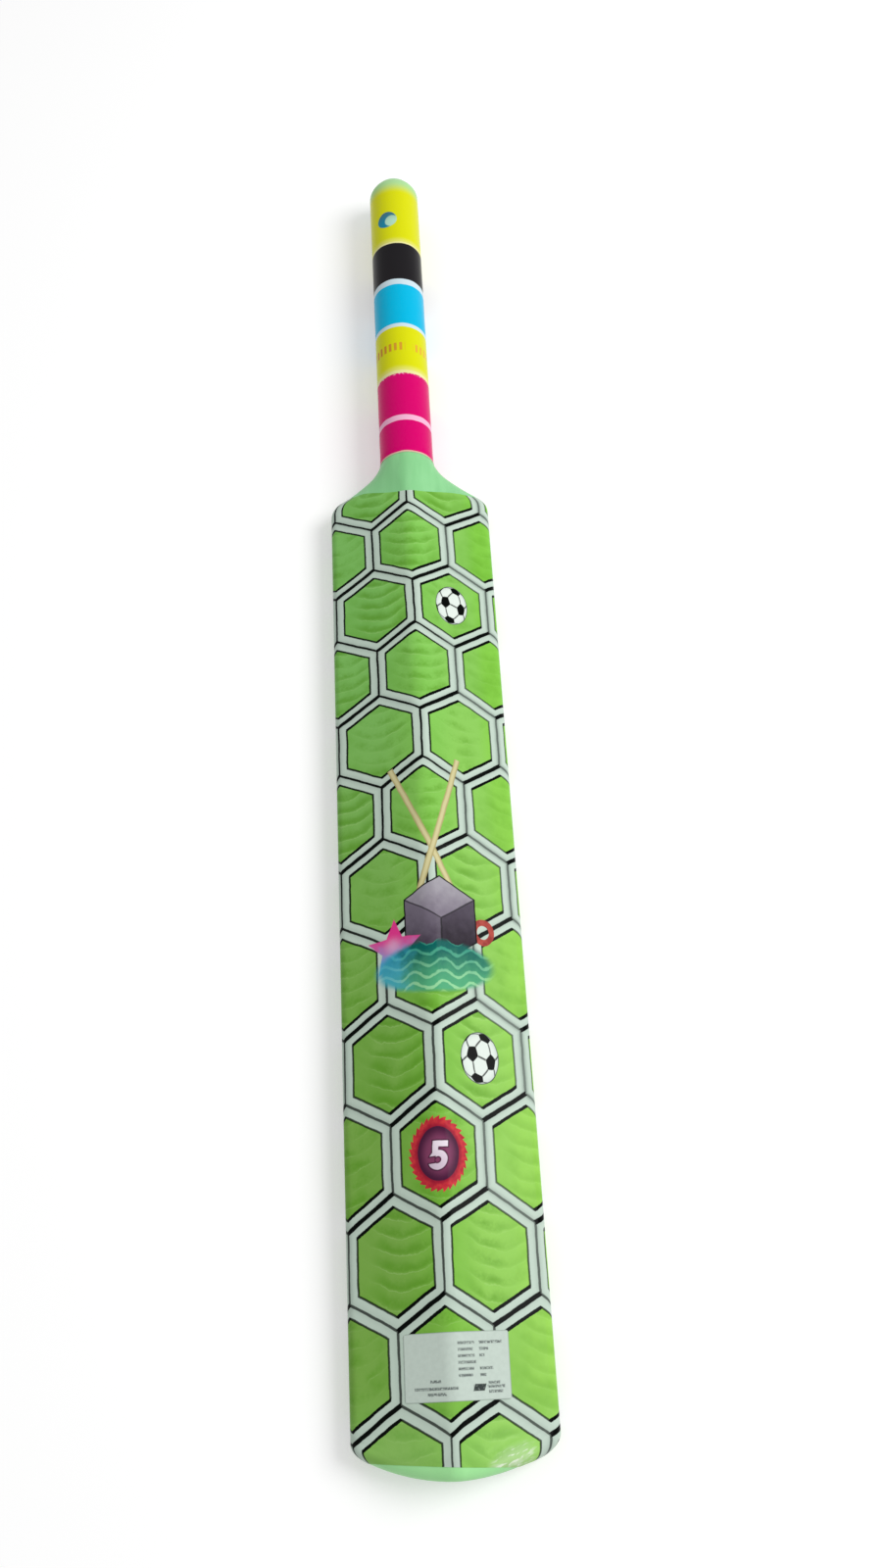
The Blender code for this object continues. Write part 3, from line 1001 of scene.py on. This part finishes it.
def draw_football(colour, x, y):
    """Draws a football about x = y = 0, in mm, over the colour."""
    px, py = x / BALL_RX, y / BALL_RY
    flat = px * px + py * py
    lift = (1.0 - flat).most(0.0).math("SQRT")
    place = vector(px, py * -1, lift)
    turn = Matrix.Identity(3)
    for axis, degrees in BALL_TURN.items():
        turn = turn @ Matrix.Rotation(math.radians(degrees), 3, axis)

    def facing(axis, reach):
        values = {0: place, 1: turn @ Vector(axis).normalized() / reach}
        node = add_node(x.tree, "VectorMath", values)
        node.operation = "DOT_PRODUCT"
        return abs(Field(node.outputs["Value"]))

    pentagons, hexagons = ball_axes()
    pentagon = first = second = lift * 0
    for axis in pentagons:
        pentagon = pentagon.most(facing(axis, PENTAGON_REACH))
    for axis in hexagons:
        this = facing(axis, HEXAGON_REACH)
        second = second.most(first.least(this))
        first = first.most(this)
    dark = (pentagon - first).ramp(-0.012, 0.012)
    seam = (first - second).ramp(0.0, BALL_SEAM, 1.0, 0.0) * (first - pentagon).ramp(0.0, 0.01)
    ball = blend(lift.ramp(0.0, 0.75), *BALL_WHITE)
    ball = blend(dark.most(seam).most(flat.ramp(0.90, 0.95) * 0.8), ball, INK)
    return blend((1.0 - flat.math("SQRT")).ramp(-0.008, 0.012), colour, ball)


# %% Ovals, bars and a number
def oval_of(x, y, half_x, half_y):
    """Goes from 0 in the middle of an oval to 1 at its edge."""
    return length(x / half_x, y / half_y)


def bar(x, y, middle_x, middle_y, half_x, half_y):
    """Distance inside an upright bar."""
    return (half_x - abs(x - middle_x)).least(half_y - abs(y - middle_y))


RING_R = 3.05


def number_five(x, y):
    """Distance inside a slanted 5: a top bar, a stem and a ring that is open on the left."""
    y = (y - 0.8) * 1.06
    x = x + y * 0.10
    top = bar(x, y, 0.6, -5.2, 3.5, 1.35)
    stem = bar(x, y, -1.6, -3.1, 1.35, 3.4)
    ring_x, ring_y = x + 0.1, y - 2.2
    ring = 1.4 - abs(length(ring_x, ring_y) - RING_R)
    opening = (-0.9 - ring_x).least(1.75 - abs(ring_y + 0.2))
    return top.most(stem).most(ring.least(opening * -1))


# %% Badge
BADGE_HALF = (14.4, 16.5)
BADGE_OVAL = (10.0, 11.7)
BADGE_RIM = 0.885
BADGE_RED = (rgb(184, 40, 58), rgb(208, 60, 64))
BADGE_DEEP = rgb(150, 24, 52)
BADGE_PURPLE = (rgb(132, 66, 100), rgb(74, 30, 60))
DIGIT_SHADE = rgb(52, 20, 44)
DIGIT_PALE = (rgb(238, 226, 236), rgb(214, 196, 212))
TEETH = 30
TOOTH_DEPTH = 0.10


def draw_badge(colour, x, y):
    reach = oval_of(x, y, *BADGE_HALF)
    angle = (y / BADGE_HALF[1]).math("ARCTAN2", x / BADGE_HALF[0])
    tooth = (angle * (TEETH / (2 * math.pi))).math("FRACT")
    clouds = noise((x, y), 0.35)
    rim = BADGE_RIM + tooth * TOOTH_DEPTH + clouds * 0.05 - reach
    red = blend(clouds.ramp(0.35, 0.65), *BADGE_RED)
    red = blend(reach.ramp(0.72, 0.84, 1.0, 0.0) * 0.8, red, BADGE_DEEP)
    colour = blend(rim.ramp(-0.008, 0.012), colour, red)
    oval = oval_of(x, y, *BADGE_OVAL)
    purple = blend(oval.ramp(0.45, 0.98), *BADGE_PURPLE)
    colour = blend((1.0 - oval).ramp(-0.015, 0.015), colour, purple)
    digit = number_five(x, y)
    colour = blend((digit + 0.6).cover(0.5) * 0.75, colour, DIGIT_SHADE)
    return blend(digit.cover(0.3), colour, blend(y.ramp(-4.86, 6.46), *DIGIT_PALE))


# %% [markdown]
# ## A plain picture in the middle
# In the middle the film carries a picture of plain forms: a dark cube with two crossed
# straw-coloured ribbons behind it, a star from pink to blue, a red ring and teal waves. Each form is
# the distance inside a few straight edges or ovals.

# %% Ribbons and star
RIBBONS = (((-21.0, -90.0), (12.0, -20.0)), ((17.0, -94.0), (-8.0, -20.0)))
RIBBON_HALF = 1.6


def ribbon(x, y, start, end):
    """How far off its middle line a place on a straight ribbon is, and the distance inside it."""
    long = math.dist(start, end)
    along_x, along_y = (end[0] - start[0]) / long, (end[1] - start[1]) / long
    x, y = x - start[0], y - start[1]
    run = x * along_x + y * along_y
    off = abs(x * along_y - y * along_x)
    return off, (RIBBON_HALF - off).least(long / 2 - abs(run - long / 2))


STAR_R = 13.5
STAR_TIPS = 5
STAR_INNER = 0.46


def star(x, y):
    """Distance inside a star, folded into half a tip, where its edge is one straight line."""
    tip = 2 * math.pi / STAR_TIPS
    angle = abs((y.math("ARCTAN2", x) / tip + 0.25).off_whole()) * tip
    reach = length(x, y)
    inner = STAR_R * STAR_INNER
    edge_x, edge_y = inner * math.sin(tip / 2), STAR_R - inner * math.cos(tip / 2)
    long = math.hypot(edge_x, edge_y)
    near_x, near_y = reach * angle.math("COSINE"), reach * angle.math("SINE")
    return (STAR_R - near_x) * (edge_x / long) - near_y * (edge_y / long)


# %% A cube on its corner
CUBE_HALF = 19.0
CUBE_LEFT = (rgb(112, 104, 118), rgb(62, 52, 66))
CUBE_RIGHT = (rgb(84, 76, 90), rgb(40, 32, 42))
CUBE_TOP = (rgb(166, 162, 170), rgb(128, 120, 134))
THIRTY = math.radians(30)


def draw_cube(colour, clouds, x, y):
    """A cube seen on its corner: a hexagon whose three faces meet in the middle."""
    inside = (CUBE_HALF - abs(x)).least(CUBE_HALF - abs(x) * math.sin(THIRTY) - abs(y) * math.cos(THIRTY))
    top = y * -1 - abs(x) * math.tan(THIRTY)
    worn = y + (clouds - 0.5) * 14
    side = blend(x.cover(0.4), blend(worn.ramp(-8, 20), *CUBE_LEFT), blend(worn.ramp(-12, 16), *CUBE_RIGHT))
    tone = blend(top.cover(0.4), side, blend(worn.ramp(-22, 0), *CUBE_TOP))
    joint = (0.45 - abs(top)).most((0.45 - abs(x)).least(top * -1))
    tone = blend(joint.cover(0.4) * 0.7, tone, INK)
    colour = blend(inside.cover(0.4), colour, INK)
    return blend((inside - 0.7).cover(0.4), colour, tone)


# %% Waves
BANK_MIDDLE = 15.0
BANK_HALF = (30.0, 12.5)
WAVE_PITCH = 5.4
WAVE_HEIGHT = 1.7
WAVE_TURN = 0.42
DARK_WATER = (rgb(10, 96, 90), rgb(84, 172, 124))
PALE_WATER = (rgb(52, 150, 128), rgb(150, 214, 158))
SEA_BLUE = rgb(70, 176, 216)


def draw_waves(colour, clouds, x, y):
    """Two tones of water in wavy stripes, fading out at the rim of an oval, and blue on the left."""
    swing = y + (x * WAVE_TURN).math("SINE") * WAVE_HEIGHT + (clouds - 0.5) * 3
    stripe = 0.36 - abs((swing / WAVE_PITCH).off_whole())
    bank = (1.0 - oval_of(x, y - BANK_MIDDLE, *BANK_HALF)) * 14.0
    depth = (y + (clouds - 0.5) * 10).ramp(4, 26)
    water = blend(stripe.ramp(-0.05, 0.05), blend(depth, *PALE_WATER), blend(depth, *DARK_WATER))
    water = blend((x * -1 + (clouds - 0.5) * 20).ramp(8, 24, 0.0, 0.6), water, SEA_BLUE)
    return blend(bank.cover(3.0) * (swing - 3.0).cover(0.6), colour, water)


# %% The whole picture
CUBE_PLACE = (3.5, -8.5)
STAR_PLACE = (-21.0, 4.0)
RING_PLACE = (26.0, -3.0)
RING_HALF = (6.4, 6.8)
STRAW = (rgb(210, 202, 152), rgb(176, 164, 112))
RING_RED = (rgb(150, 56, 52), rgb(178, 76, 66))
PINK_TO_BLUE = (rgb(226, 60, 140), rgb(70, 170, 222))
PALE_PINK = rgb(250, 200, 222)


def draw_picture(colour, x, y):
    clouds = noise((x, y), 0.22, 3.0)
    for start, end in RIBBONS:
        off, inside = ribbon(x, y, start, end)
        colour = blend(inside.cover(0.3), colour, blend(off.ramp(0.4, 1.5), *STRAW))
    ring = oval_of(x - RING_PLACE[0], y - RING_PLACE[1], *RING_HALF)
    red = blend(clouds.ramp(0.4, 0.6), *RING_RED)
    colour = blend((0.24 - abs(ring - 0.74)).ramp(-0.02, 0.02), colour, red)
    colour = draw_cube(colour, clouds, x - CUBE_PLACE[0], y - CUBE_PLACE[1])
    star_x, star_y = x - STAR_PLACE[0], y - STAR_PLACE[1]
    candy = blend((star_y + (clouds - 0.5) * 8).ramp(-8, 10), *PINK_TO_BLUE)
    shine = oval_of(star_x + 1.0, star_y + 1.5, 7.0, 7.0)
    candy = blend(shine.ramp(0.0, 0.9, 0.4, 0.0), candy, PALE_PINK)
    colour = blend((star(star_x, star_y) + 0.5).cover(0.5), colour, candy)
    return draw_waves(colour, clouds, x, y)


# %% [markdown]
# ## The whole film
# The figures are laid over the honeycomb, each at its place in the print. At the toe's right corner
# the film is drawn in most, and its creases there carry painted highlights: whitish streaks in the
# colour that stand for their glints. The film itself is smooth, with faint ripples, and it shines a
# little more or less from place to place.

# %% The printed film
BALL_ACROSS = 0.5
BALL_ROWS = (0.8285, 3.8285)
BADGE_PLACE = (0.0, 4.3285)
PICTURE_PLACE = (0.06, 3.145)
FILM_RELIEF = 0.16
PRINT_SHEEN = 0.028
PAINTED_GLINT_STRENGTH = 0.9
CREASE_PLACE = (0.0235, TOE_Y + 0.0065)
CREASE_LEAN = math.radians(24)
CREASE_HALF = (14.0, 6.5)
PAINTED_GLINT_WHITE = rgb(236, 246, 226)


def about(cells, across, down):
    """Place in mm to the right of and below a spot in the print."""
    return (cells["across"] - across) * ACROSS_MM, (cells["down"] - down) * cells["pitch"]


def toe_crease_relief_and_glints(tree):
    """Streaks of the film's creases that lean over the toe's right corner: their relief, and a painted
    highlight for their glints.
    """
    x, y = on_object(tree)[:2]
    x, y = (x - CREASE_PLACE[0]) * 1000, (y - CREASE_PLACE[1]) * 1000
    run = x * math.cos(CREASE_LEAN) + y * math.sin(CREASE_LEAN)
    rise = y * math.cos(CREASE_LEAN) - x * math.sin(CREASE_LEAN)
    broad = noise((run * 0.10, rise * 0.30), 1.0)
    lines = noise((run * 0.16, rise * 0.75), 1.0, 3.0)
    streaks = lines.ramp(0.50, 0.62).most(broad.ramp(0.46, 0.66) * 0.6).most(0.25)
    return streaks * oval_of(run, rise, *CREASE_HALF).ramp(0.35, 1.0, 1.0, 0.0)


def printed_film():
    material, tree, shader = new_material("printed film", {"Specular IOR Level": PRINT_SHEEN})
    cells = honeycomb(tree)
    colour = draw_picture(draw_honeycomb(cells), *about(cells, *PICTURE_PLACE))
    first, last = BALL_ROWS
    nearer = cells["down"].math("GREATER_THAN", (first + last) / 2)
    colour = draw_football(colour, *about(cells, BALL_ACROSS, nearer * (last - first) + first))
    colour = draw_badge(colour, *about(cells, *BADGE_PLACE))
    streaks = toe_crease_relief_and_glints(tree)
    # painted highlight: whitish streaks in the colour stand for the glints of the toe's creases
    colour = blend(streaks * PAINTED_GLINT_STRENGTH, colour, PAINTED_GLINT_WHITE)
    ripples = noise(cells["paper"], 0.11)
    creases = noise((cells["across"] * ACROSS_MM, cells["down"] * 12), 0.45)
    relief = ripples * 0.8 + creases * 0.2 + streaks * 0.5
    dress(shader, colour, ripples.ramp(0.3, 0.7, 0.11, 0.20), relief, FILM_RELIEF, 0.0012)
    return material


film = make_blade_film(printed_film())


# %% [markdown]
# ## The banded film on the handle
# The handle's film is a second, shorter tube. It is wrapped in the same way, from the neck to just
# over the edge of the dome, and it clings to the shell at both cut ends.

# %% The handle's film
GRIP_TOP = 0.7392


def make_handle_film(material):
    rows = long_rows(GRIP_START, DOME_START) + [row for row in dome_rows() if row[0] < GRIP_TOP]
    spots = np.array([s for s, extra in rows])[:, None]
    skin = points_of(rows)
    reach = mix(FILM_CLING, FILM_REACH, cling(spots - GRIP_START, GRIP_TOP - spots))
    outer = skin + outward(skin) * reach[:, :, None]
    film = wrap_grid("handle_film", np.concatenate([outer, outer[:, :1]], 1))
    weld(film)
    thicken(film, FILM_T)
    finish_piece(film, material, "banded_film", "handle_sleeve")
    return film


# %% [markdown]
# ## The bands
# The bands lie round the handle, so a band is only a stretch of distances from the toe. The print
# is not quite sharp: the colours meet in thin pale lines, and the yellow fades a little there.
# The yellow bands also carry a row of orange bars and a small blue disc with a pale crescent.

# %% Figures on the handle
BARS_UP = 598.8
BARS_PITCH = 3.3
BAR_HALF = (0.85, 2.9)
BARS_REACH = 20.0
BARS_GAP = (5.0, 2.4)
BAR_ORANGE = (rgb(196, 104, 40), rgb(232, 168, 60))
DISC_PLACE = (-5.0, 702.5)
DISC_R = 6.4
DISC_BLUE = rgb(24, 136, 168)
DISC_BROWN = rgb(92, 84, 60)
CRESCENT_PALE = rgb(178, 222, 196)
CRESCENT_R = 4.6


def small_figures(colour, arc, up):
    """Orange bars and a blue disc, at mm round the handle from its top and mm up from the toe."""
    beside = abs((arc / BARS_PITCH).off_whole() * BARS_PITCH)
    bars = (BAR_HALF[0] - beside).least(BAR_HALF[1] - abs(up - BARS_UP))
    bars = bars.least(BARS_REACH - abs(arc)).least(abs(arc - BARS_GAP[0]) - BARS_GAP[1])
    colour = blend(bars.cover(0.5) * 0.85, colour, blend(arc.ramp(-18, 16), *BAR_ORANGE))
    x, y = arc - DISC_PLACE[0], up - DISC_PLACE[1]
    blue = blend((CRESCENT_R - length(x - 3.4, y + 1.6)).cover(0.6), DISC_BLUE, CRESCENT_PALE)
    blue = blend(y.ramp(-2.0, 7.0, 0.0, 0.5), blue, DISC_BROWN)
    return blend((DISC_R - length(x, y)).cover(0.5), colour, blue)


# %% The handle film's material
YELLOW = rgb(218, 220, 14)
BLACK = rgb(30, 28, 31)
WHITE = rgb(206, 226, 234)
CYAN = rgb(0, 184, 226)
MAGENTA = rgb(215, 0, 108)
PINKISH = rgb(244, 182, 212)
CREAM = rgb(234, 230, 160)
CUT_EDGE = rgb(222, 188, 168)
PALE_MINT = rgb(169, 220, 158)
YELLOW_STARTS = (580.6, 682.9)
BANDS = ((522.0, MAGENTA), (543.6, PINKISH), (547.5, MAGENTA), (578.3, CREAM), (YELLOW_STARTS[0], YELLOW),
         (613.9, WHITE), (616.7, CYAN), (647.8, WHITE), (652.2, BLACK), (681.7, CREAM),
         (YELLOW_STARTS[1], YELLOW))
TOP_FADE = (725.0, 735.2)
SPECKS = (576.8, 578.3)
BAND_SHEEN = 0.04
BAND_SHAKE = 0.8
CREASES_ACROSS = 260
CREASES_ALONG = 30


def banded_film():
    material, tree, shader = new_material("banded film", {"Specular IOR Level": BAND_SHEEN})
    x, y, z = on_object(tree)
    shake = noise((x, y * 0.3, z), 170.0, 3.0)
    up = (y - TOE_Y) * 1000 + (shake - 0.5) * BAND_SHAKE
    colour = CUT_EDGE
    for start, over in BANDS:
        colour = blend((up - start).cover(0.3), colour, over)
    for start in YELLOW_STARTS:
        above = up - start
        colour = blend(above.ramp(0.0, 4.5, 0.45, 0.0) * above.cover(0.2), colour, CREAM)
    near = up.ramp(SPECKS[0], SPECKS[0] + 1.2) * up.ramp(SPECKS[1], SPECKS[1] + 0.4, 1.0, 0.0)
    colour = blend(noise((x, y, z), 900.0, 1.0).ramp(0.56, 0.62) * near, colour, PINKISH)
    angle = x.math("ARCTAN2", z - (FACE_Z + HANDLE_AXIS_H))
    colour = small_figures(colour, angle * ((HANDLE_R + FILM_REACH) * 1000), up)
    colour = blend(up.ramp(*TOP_FADE, 0.0, 0.95), colour, PALE_MINT)
    tint = noise((x, y, z), 60.0, 3.0)
    creases = noise((x * CREASES_ACROSS, y * CREASES_ALONG, z * CREASES_ACROSS), 1.0)
    dress(shader, colour, tint.ramp(0.3, 0.7, 0.12, 0.22), creases * 0.35 + tint * 0.65, 0.15, 0.001)
    return material


grip = make_handle_film(banded_film())


# %% [markdown]
# ## The paper label
# The label is a sheet of paper on the ridged back, so it has to bend over the ridge. It is a grid
# with round corners: the rows in the corners follow the arc and get shorter. Each point is then let
# down on the film under it, at the height that the form has there. One corner has begun to lift.

# %% Height of the back
def back_height(x, s, above):
    """Height of the back at x and s, for a surface that lies the given distance above the shell."""
    ring = ring_at(s)
    side = RIDGE_STEPS + SLOPE_STEPS
    top = np.concatenate([ring[-side:], ring[:side + 1]])
    slope = np.gradient(top[:, 2], top[:, 0])
    height = np.interp(x, top[:, 0], top[:, 2])
    return height + above * math.hypot(1, np.interp(x, top[:, 0], slope))


# %% Rows of the label
LABEL_CORNER_R = 0.0011
LABEL_STRAIGHT_ROWS = 30
CORNER_ROWS = 6


def label_rows(half_wide, half_long):
    """Rows of the flat label as pairs: how far up the row is, and half its length."""
    turns = [math.pi / 2 * k / CORNER_ROWS for k in range(CORNER_ROWS)]
    r = LABEL_CORNER_R
    corner = [(half_long - r + r * math.cos(a), half_wide - r + r * math.sin(a)) for a in turns]
    middle = [(y, half_wide) for y in np.linspace(half_long - r, r - half_long, LABEL_STRAIGHT_ROWS)]
    return corner + middle + [(-y, reach) for y, reach in corner[::-1]]


# %% The label
LABEL_T = 0.00012
LABEL_TURN = math.radians(-0.4)
LABEL_CURL = 0.00030
CURL_FROM = (0.012, 0.004)
CURL_OVER = (0.011, 0.009)
LABEL_DOWN = 0.0009
LABEL_WIDER = 0.0002
LABEL_AIR = 0.00004
LABEL_COLUMNS = 67


def make_label(material):
    half_wide, half_long = (label_high.x - label_low.x) / 2, (label_high.y - label_low.y) / 2
    middle_x, middle_y = label_low.x + half_wide - LABEL_WIDER, label_low.y + half_long - LABEL_DOWN
    half_wide = half_wide + LABEL_WIDER
    lift = FILM_REACH + LABEL_T + LABEL_AIR
    points, flat = [], []
    for y, reach in label_rows(half_wide, half_long)[::-1]:
        for x in np.linspace(-reach, reach, LABEL_COLUMNS):
            turned_x = middle_x + x * math.cos(LABEL_TURN) - y * math.sin(LABEL_TURN)
            turned_y = middle_y + x * math.sin(LABEL_TURN) + y * math.cos(LABEL_TURN)
            curl = smooth((x - CURL_FROM[0]) / CURL_OVER[0]) * smooth((-y - CURL_FROM[1]) / CURL_OVER[1])
            height = back_height(turned_x, turned_y - TOE_Y, lift + LABEL_CURL * curl)
            points.append((turned_x, turned_y, height))
            flat.append((x + half_wide, half_long - y))
    flat_mm = np.array(flat).reshape(-1, LABEL_COLUMNS, 2) * 1000
    label = wrap_grid("paper_label", np.array(points).reshape(-1, LABEL_COLUMNS, 3), flat_mm)
    thicken(label, LABEL_T)
    finish_piece(label, material, "label_paper", "price_label")
    return label


# %% [markdown]
# ## What is on the label
# The label has short lines of small grey print. Here the lines are plain grey bars, a little broken
# up, which say nothing. Their places are written in mm from the label's upper left corner.

# %% The label's material
PAPER = (rgb(194, 208, 198), rgb(199, 213, 203))
LINE_GREY = rgb(96, 104, 102)
BLOCK_GREY = rgb(52, 60, 58)
RIM_PAINTED_SHADE = rgb(136, 150, 140)
COLUMN_LINES = ((23.2, (7.1, 6.4, 7.1, 7.6, 6.6, 6.0)), (32.3, (9.8, 3.9, 2.2, 0.0, 5.6, 2.6)))
FIRST_LINE = 4.4
LINE_PITCH = 2.55
LINE_HALF = 0.56
LOWER_LINES = ((11.0, 4.6, 19.1), (4.3, 18.5, 21.9), (9.8, 8.0, 24.1), (29.4, 5.0, 21.4), (35.6, 5.0, 20.3),
               (35.2, 7.4, 21.8), (35.6, 6.0, 23.7))
BLOCK = (39.6, 22.0, 2.4, 1.35)
BLOCK_LEAN = 0.35


def label_paper():
    material, tree, shader = new_material("label paper", {"Specular IOR Level": 0.1})
    x, y = on_map(tree)
    lines = list(LOWER_LINES)
    for left, sizes in COLUMN_LINES:
        lines += [(left, size, FIRST_LINE + LINE_PITCH * k) for k, size in enumerate(sizes) if size]
    print("grey lines on the label", len(lines))
    marks = x * 0 - 1
    for left, size, row in lines:
        marks = marks.most(bar(x, y, left + size / 2, row, size / 2, LINE_HALF))
    fine = noise((x * 1.7, y * 0.8), 1.5, 1.0)
    fibres = noise((x, y), 0.5, 3.0)
    paper = blend(fibres.ramp(0.3, 0.7), *PAPER)
    wide, long = (label_high.x - label_low.x + 2 * LABEL_WIDER) * 1000, (label_high.y - label_low.y) * 1000
    rim = x.least(wide - x).least(y.least(long - y))
    # painted shade: the paper turns grey along its rim, for the shade at the label's edge
    paper = blend(rim.ramp(0.1, 0.5, 0.6, 0.0), paper, RIM_PAINTED_SHADE)
    paper = blend(marks.cover(0.5) * fine.ramp(0.40, 0.52, 0.15, 0.95), paper, LINE_GREY)
    block = bar(x + y * BLOCK_LEAN, y, *BLOCK).cover(0.4)
    paper = blend(block * fine.ramp(0.3, 0.42, 0.5, 1.0), paper, BLOCK_GREY)
    dress(shader, paper, 0.5, fibres, 0.05, 0.0002)
    return material


label = make_label(label_paper())


# %% [markdown]
# ## The stopper in the blow hole
# The stopper is a turned shape. Its half outline is drawn as a chain of points by extruding one
# vertex: up the shank, out under the head, over its rim and into the small dimple on top. The
# spin operator then turns it once round the handle's axis.

# %% The stopper
STOPPER_LIGHT = rgb(116, 206, 134)
STOPPER_DEEP = rgb(104, 192, 122)
SHANK_AIR = 0.00015
SEAT_AIR = 0.0001
STOPPER_STEPS = 48
STOPPER_ROUGH = 0.48
STOPPER_SHARP = 40.0
STOPPER_WELD = 0.00002


def make_stopper(material):
    axis = Vector((0.0, 0.0, FACE_Z + HANDLE_AXIS_H))
    head_r = (plug_high.x - plug_low.x) / 2
    seat = LAND_S + SEAT_AIR
    top, low = plug_high.y - TOE_Y, plug_low.y - TOE_Y
    shank = BLOW_HOLE_R - SHANK_AIR
    outline = [(0, low), (shank - 0.0008, low), (shank, low + 0.0008), (shank, seat)]
    outline += [(head_r - 0.0001, seat), (head_r, seat + 0.0002)]
    outline += [(head_r, top - 0.0006), (head_r - 0.0002, top - 0.0002)]
    outline += [(head_r - 0.0006, top), (0.0026, top), (0.0023, top - 0.00015), (0.0020, top - 0.0005)]
    outline += [(0.0007, top - 0.0005), (0.0006, top - 0.0002), (0, top - 0.0002)]
    deselect_all()
    bpy.ops.mesh.primitive_plane_add(size=0.001)
    stopper = bpy.context.object
    stopper.name = "end_stopper"
    edit_all(stopper)
    bpy.ops.mesh.merge(type="CENTER")
    bpy.ops.transform.translate(value=(0.0, TOE_Y + low, axis.z))
    for (r, s), (next_r, next_s) in zip(outline, outline[1:]):
        move = (next_r - r, next_s - s, 0)
        bpy.ops.mesh.extrude_vertices_move(TRANSFORM_OT_translate={"value": move})
    bpy.ops.mesh.select_all(action="SELECT")
    bpy.ops.mesh.spin(steps=STOPPER_STEPS, angle=2 * math.pi, center=axis, axis=(0, 1, 0))
    bpy.ops.object.mode_set(mode="OBJECT")
    weld(stopper, STOPPER_WELD)
    finish_piece(stopper, material, "stopper_plastic", "end_plug", sharp=STOPPER_SHARP)
    return stopper


stopper = make_stopper(mint_plastic("stopper plastic", STOPPER_LIGHT, STOPPER_DEEP, STOPPER_ROUGH))


# %% [markdown]
# ## Floor and light
# The bat lies on white ground under soft light that comes mostly from the right, so its left slope
# is darker. The floor is matt and pale, and for the camera it glows a little, which brings it to
# white and keeps the bat's soft shadow. Far off, where the lamp doesn't reach, it glows more, and
# the world is white for the camera too, so that no horizon shows from the side.

# %% Floor, world and lamp
FLOOR_SIZE = 14.0
FLOOR_GAP = 0.0002
FLOOR_GREY = (0.74, 0.74, 0.74, 1.0)
WHITE_LIGHT = (1.0, 1.0, 1.0, 1.0)
FLOOR_GLOW = 0.355
FAR_GLOW = 0.62
FAR_FROM = 0.9
FAR_TO = 3.2
WORLD_LEVEL = 0.53
LAMP_POWER = 22.0
LAMP_SIZE = 1.1
LAMP_PLACE = Vector((1.26, 0.12, 1.34))


def seen_rays(tree):
    """1 where the camera sees something, itself or through a gloss or a clear thing, and else 0."""
    path = add_node(tree, "LightPath", {})
    rays = [Field(path.outputs[f"Is {kind} Ray"]) for kind in ("Camera", "Glossy", "Transmission")]
    return rays[0].most(rays[1]).most(rays[2])


deselect_all()
bpy.ops.mesh.primitive_plane_add(size=FLOOR_SIZE, location=(0, 0, cad_box[0][2] - FLOOR_GAP))
floor = bpy.context.object
floor.name = "floor"
matt = {"Base Color": FLOOR_GREY, "Roughness": 1.0, "Specular IOR Level": 0.0, "Emission Color": WHITE_LIGHT}
ground, ground_tree, ground_shader = new_material("white ground", matt)
x, y = on_object(ground_tree)[:2]
glow = seen_rays(ground_tree) * length(x, y).ramp(FAR_FROM, FAR_TO, FLOOR_GLOW, FAR_GLOW)
plug(ground_shader, {"Emission Strength": glow})
floor.data.materials.append(ground)

world = bpy.data.worlds.new("studio")
bpy.context.scene.world = world
world.use_nodes = True
level = seen_rays(world.node_tree).ramp(0.0, 1.0, WORLD_LEVEL, 1.0)
plug(world.node_tree.nodes["Background"], {"Color": WHITE_LIGHT, "Strength": level})

bpy.ops.object.light_add(type="AREA", location=LAMP_PLACE)
lamp = bpy.context.object
lamp.name = "soft lamp"
lamp.data.shape = "DISK"
lamp.data.size = LAMP_SIZE
lamp.data.energy = LAMP_POWER
lamp.rotation_euler = (-LAMP_PLACE).to_track_quat("-Z", "Y").to_euler()


# %% [markdown]
# ## Camera
# The photo was taken from above the toe's end, looking up along the bat. The camera's place and
# turn were fitted to the outline of the bat and to points of its print.

# %% Camera
PHOTO_HEIGHT = 1600
FOCAL_PIXELS = 1350
SENSOR_MM = 36
CAMERA_PLACE = (0.0059, -0.33905, 0.6384)

camera_data = bpy.data.cameras.new("camera")
camera = bpy.data.objects.new("camera", camera_data)
bpy.context.scene.collection.objects.link(camera)
camera_data.sensor_fit = "VERTICAL"
camera_data.sensor_height = SENSOR_MM
camera_data.lens = FOCAL_PIXELS * SENSOR_MM / PHOTO_HEIGHT
right = Vector((0.99853, -0.05159, -0.01643))
up = Vector((0.05374, 0.90758, 0.41642))
back = Vector((-0.00657, -0.41669, 0.90902))
turn = Matrix((right, up, back)).transposed().to_4x4()
camera.matrix_world = Matrix.Translation(CAMERA_PLACE) @ turn
bpy.context.scene.camera = camera
bpy.context.scene.view_settings.view_transform = "Standard"
print("lens", camera_data.lens, "mm")


# %% [markdown]
# ## Sizes
# Last, the box of the plain CAD model is printed, with the names of the finished pieces.

# %% Size of the CAD model
print("CAD box", cad_box)
print("pieces", [piece.name for piece in (shell, film, grip, label, stopper)])
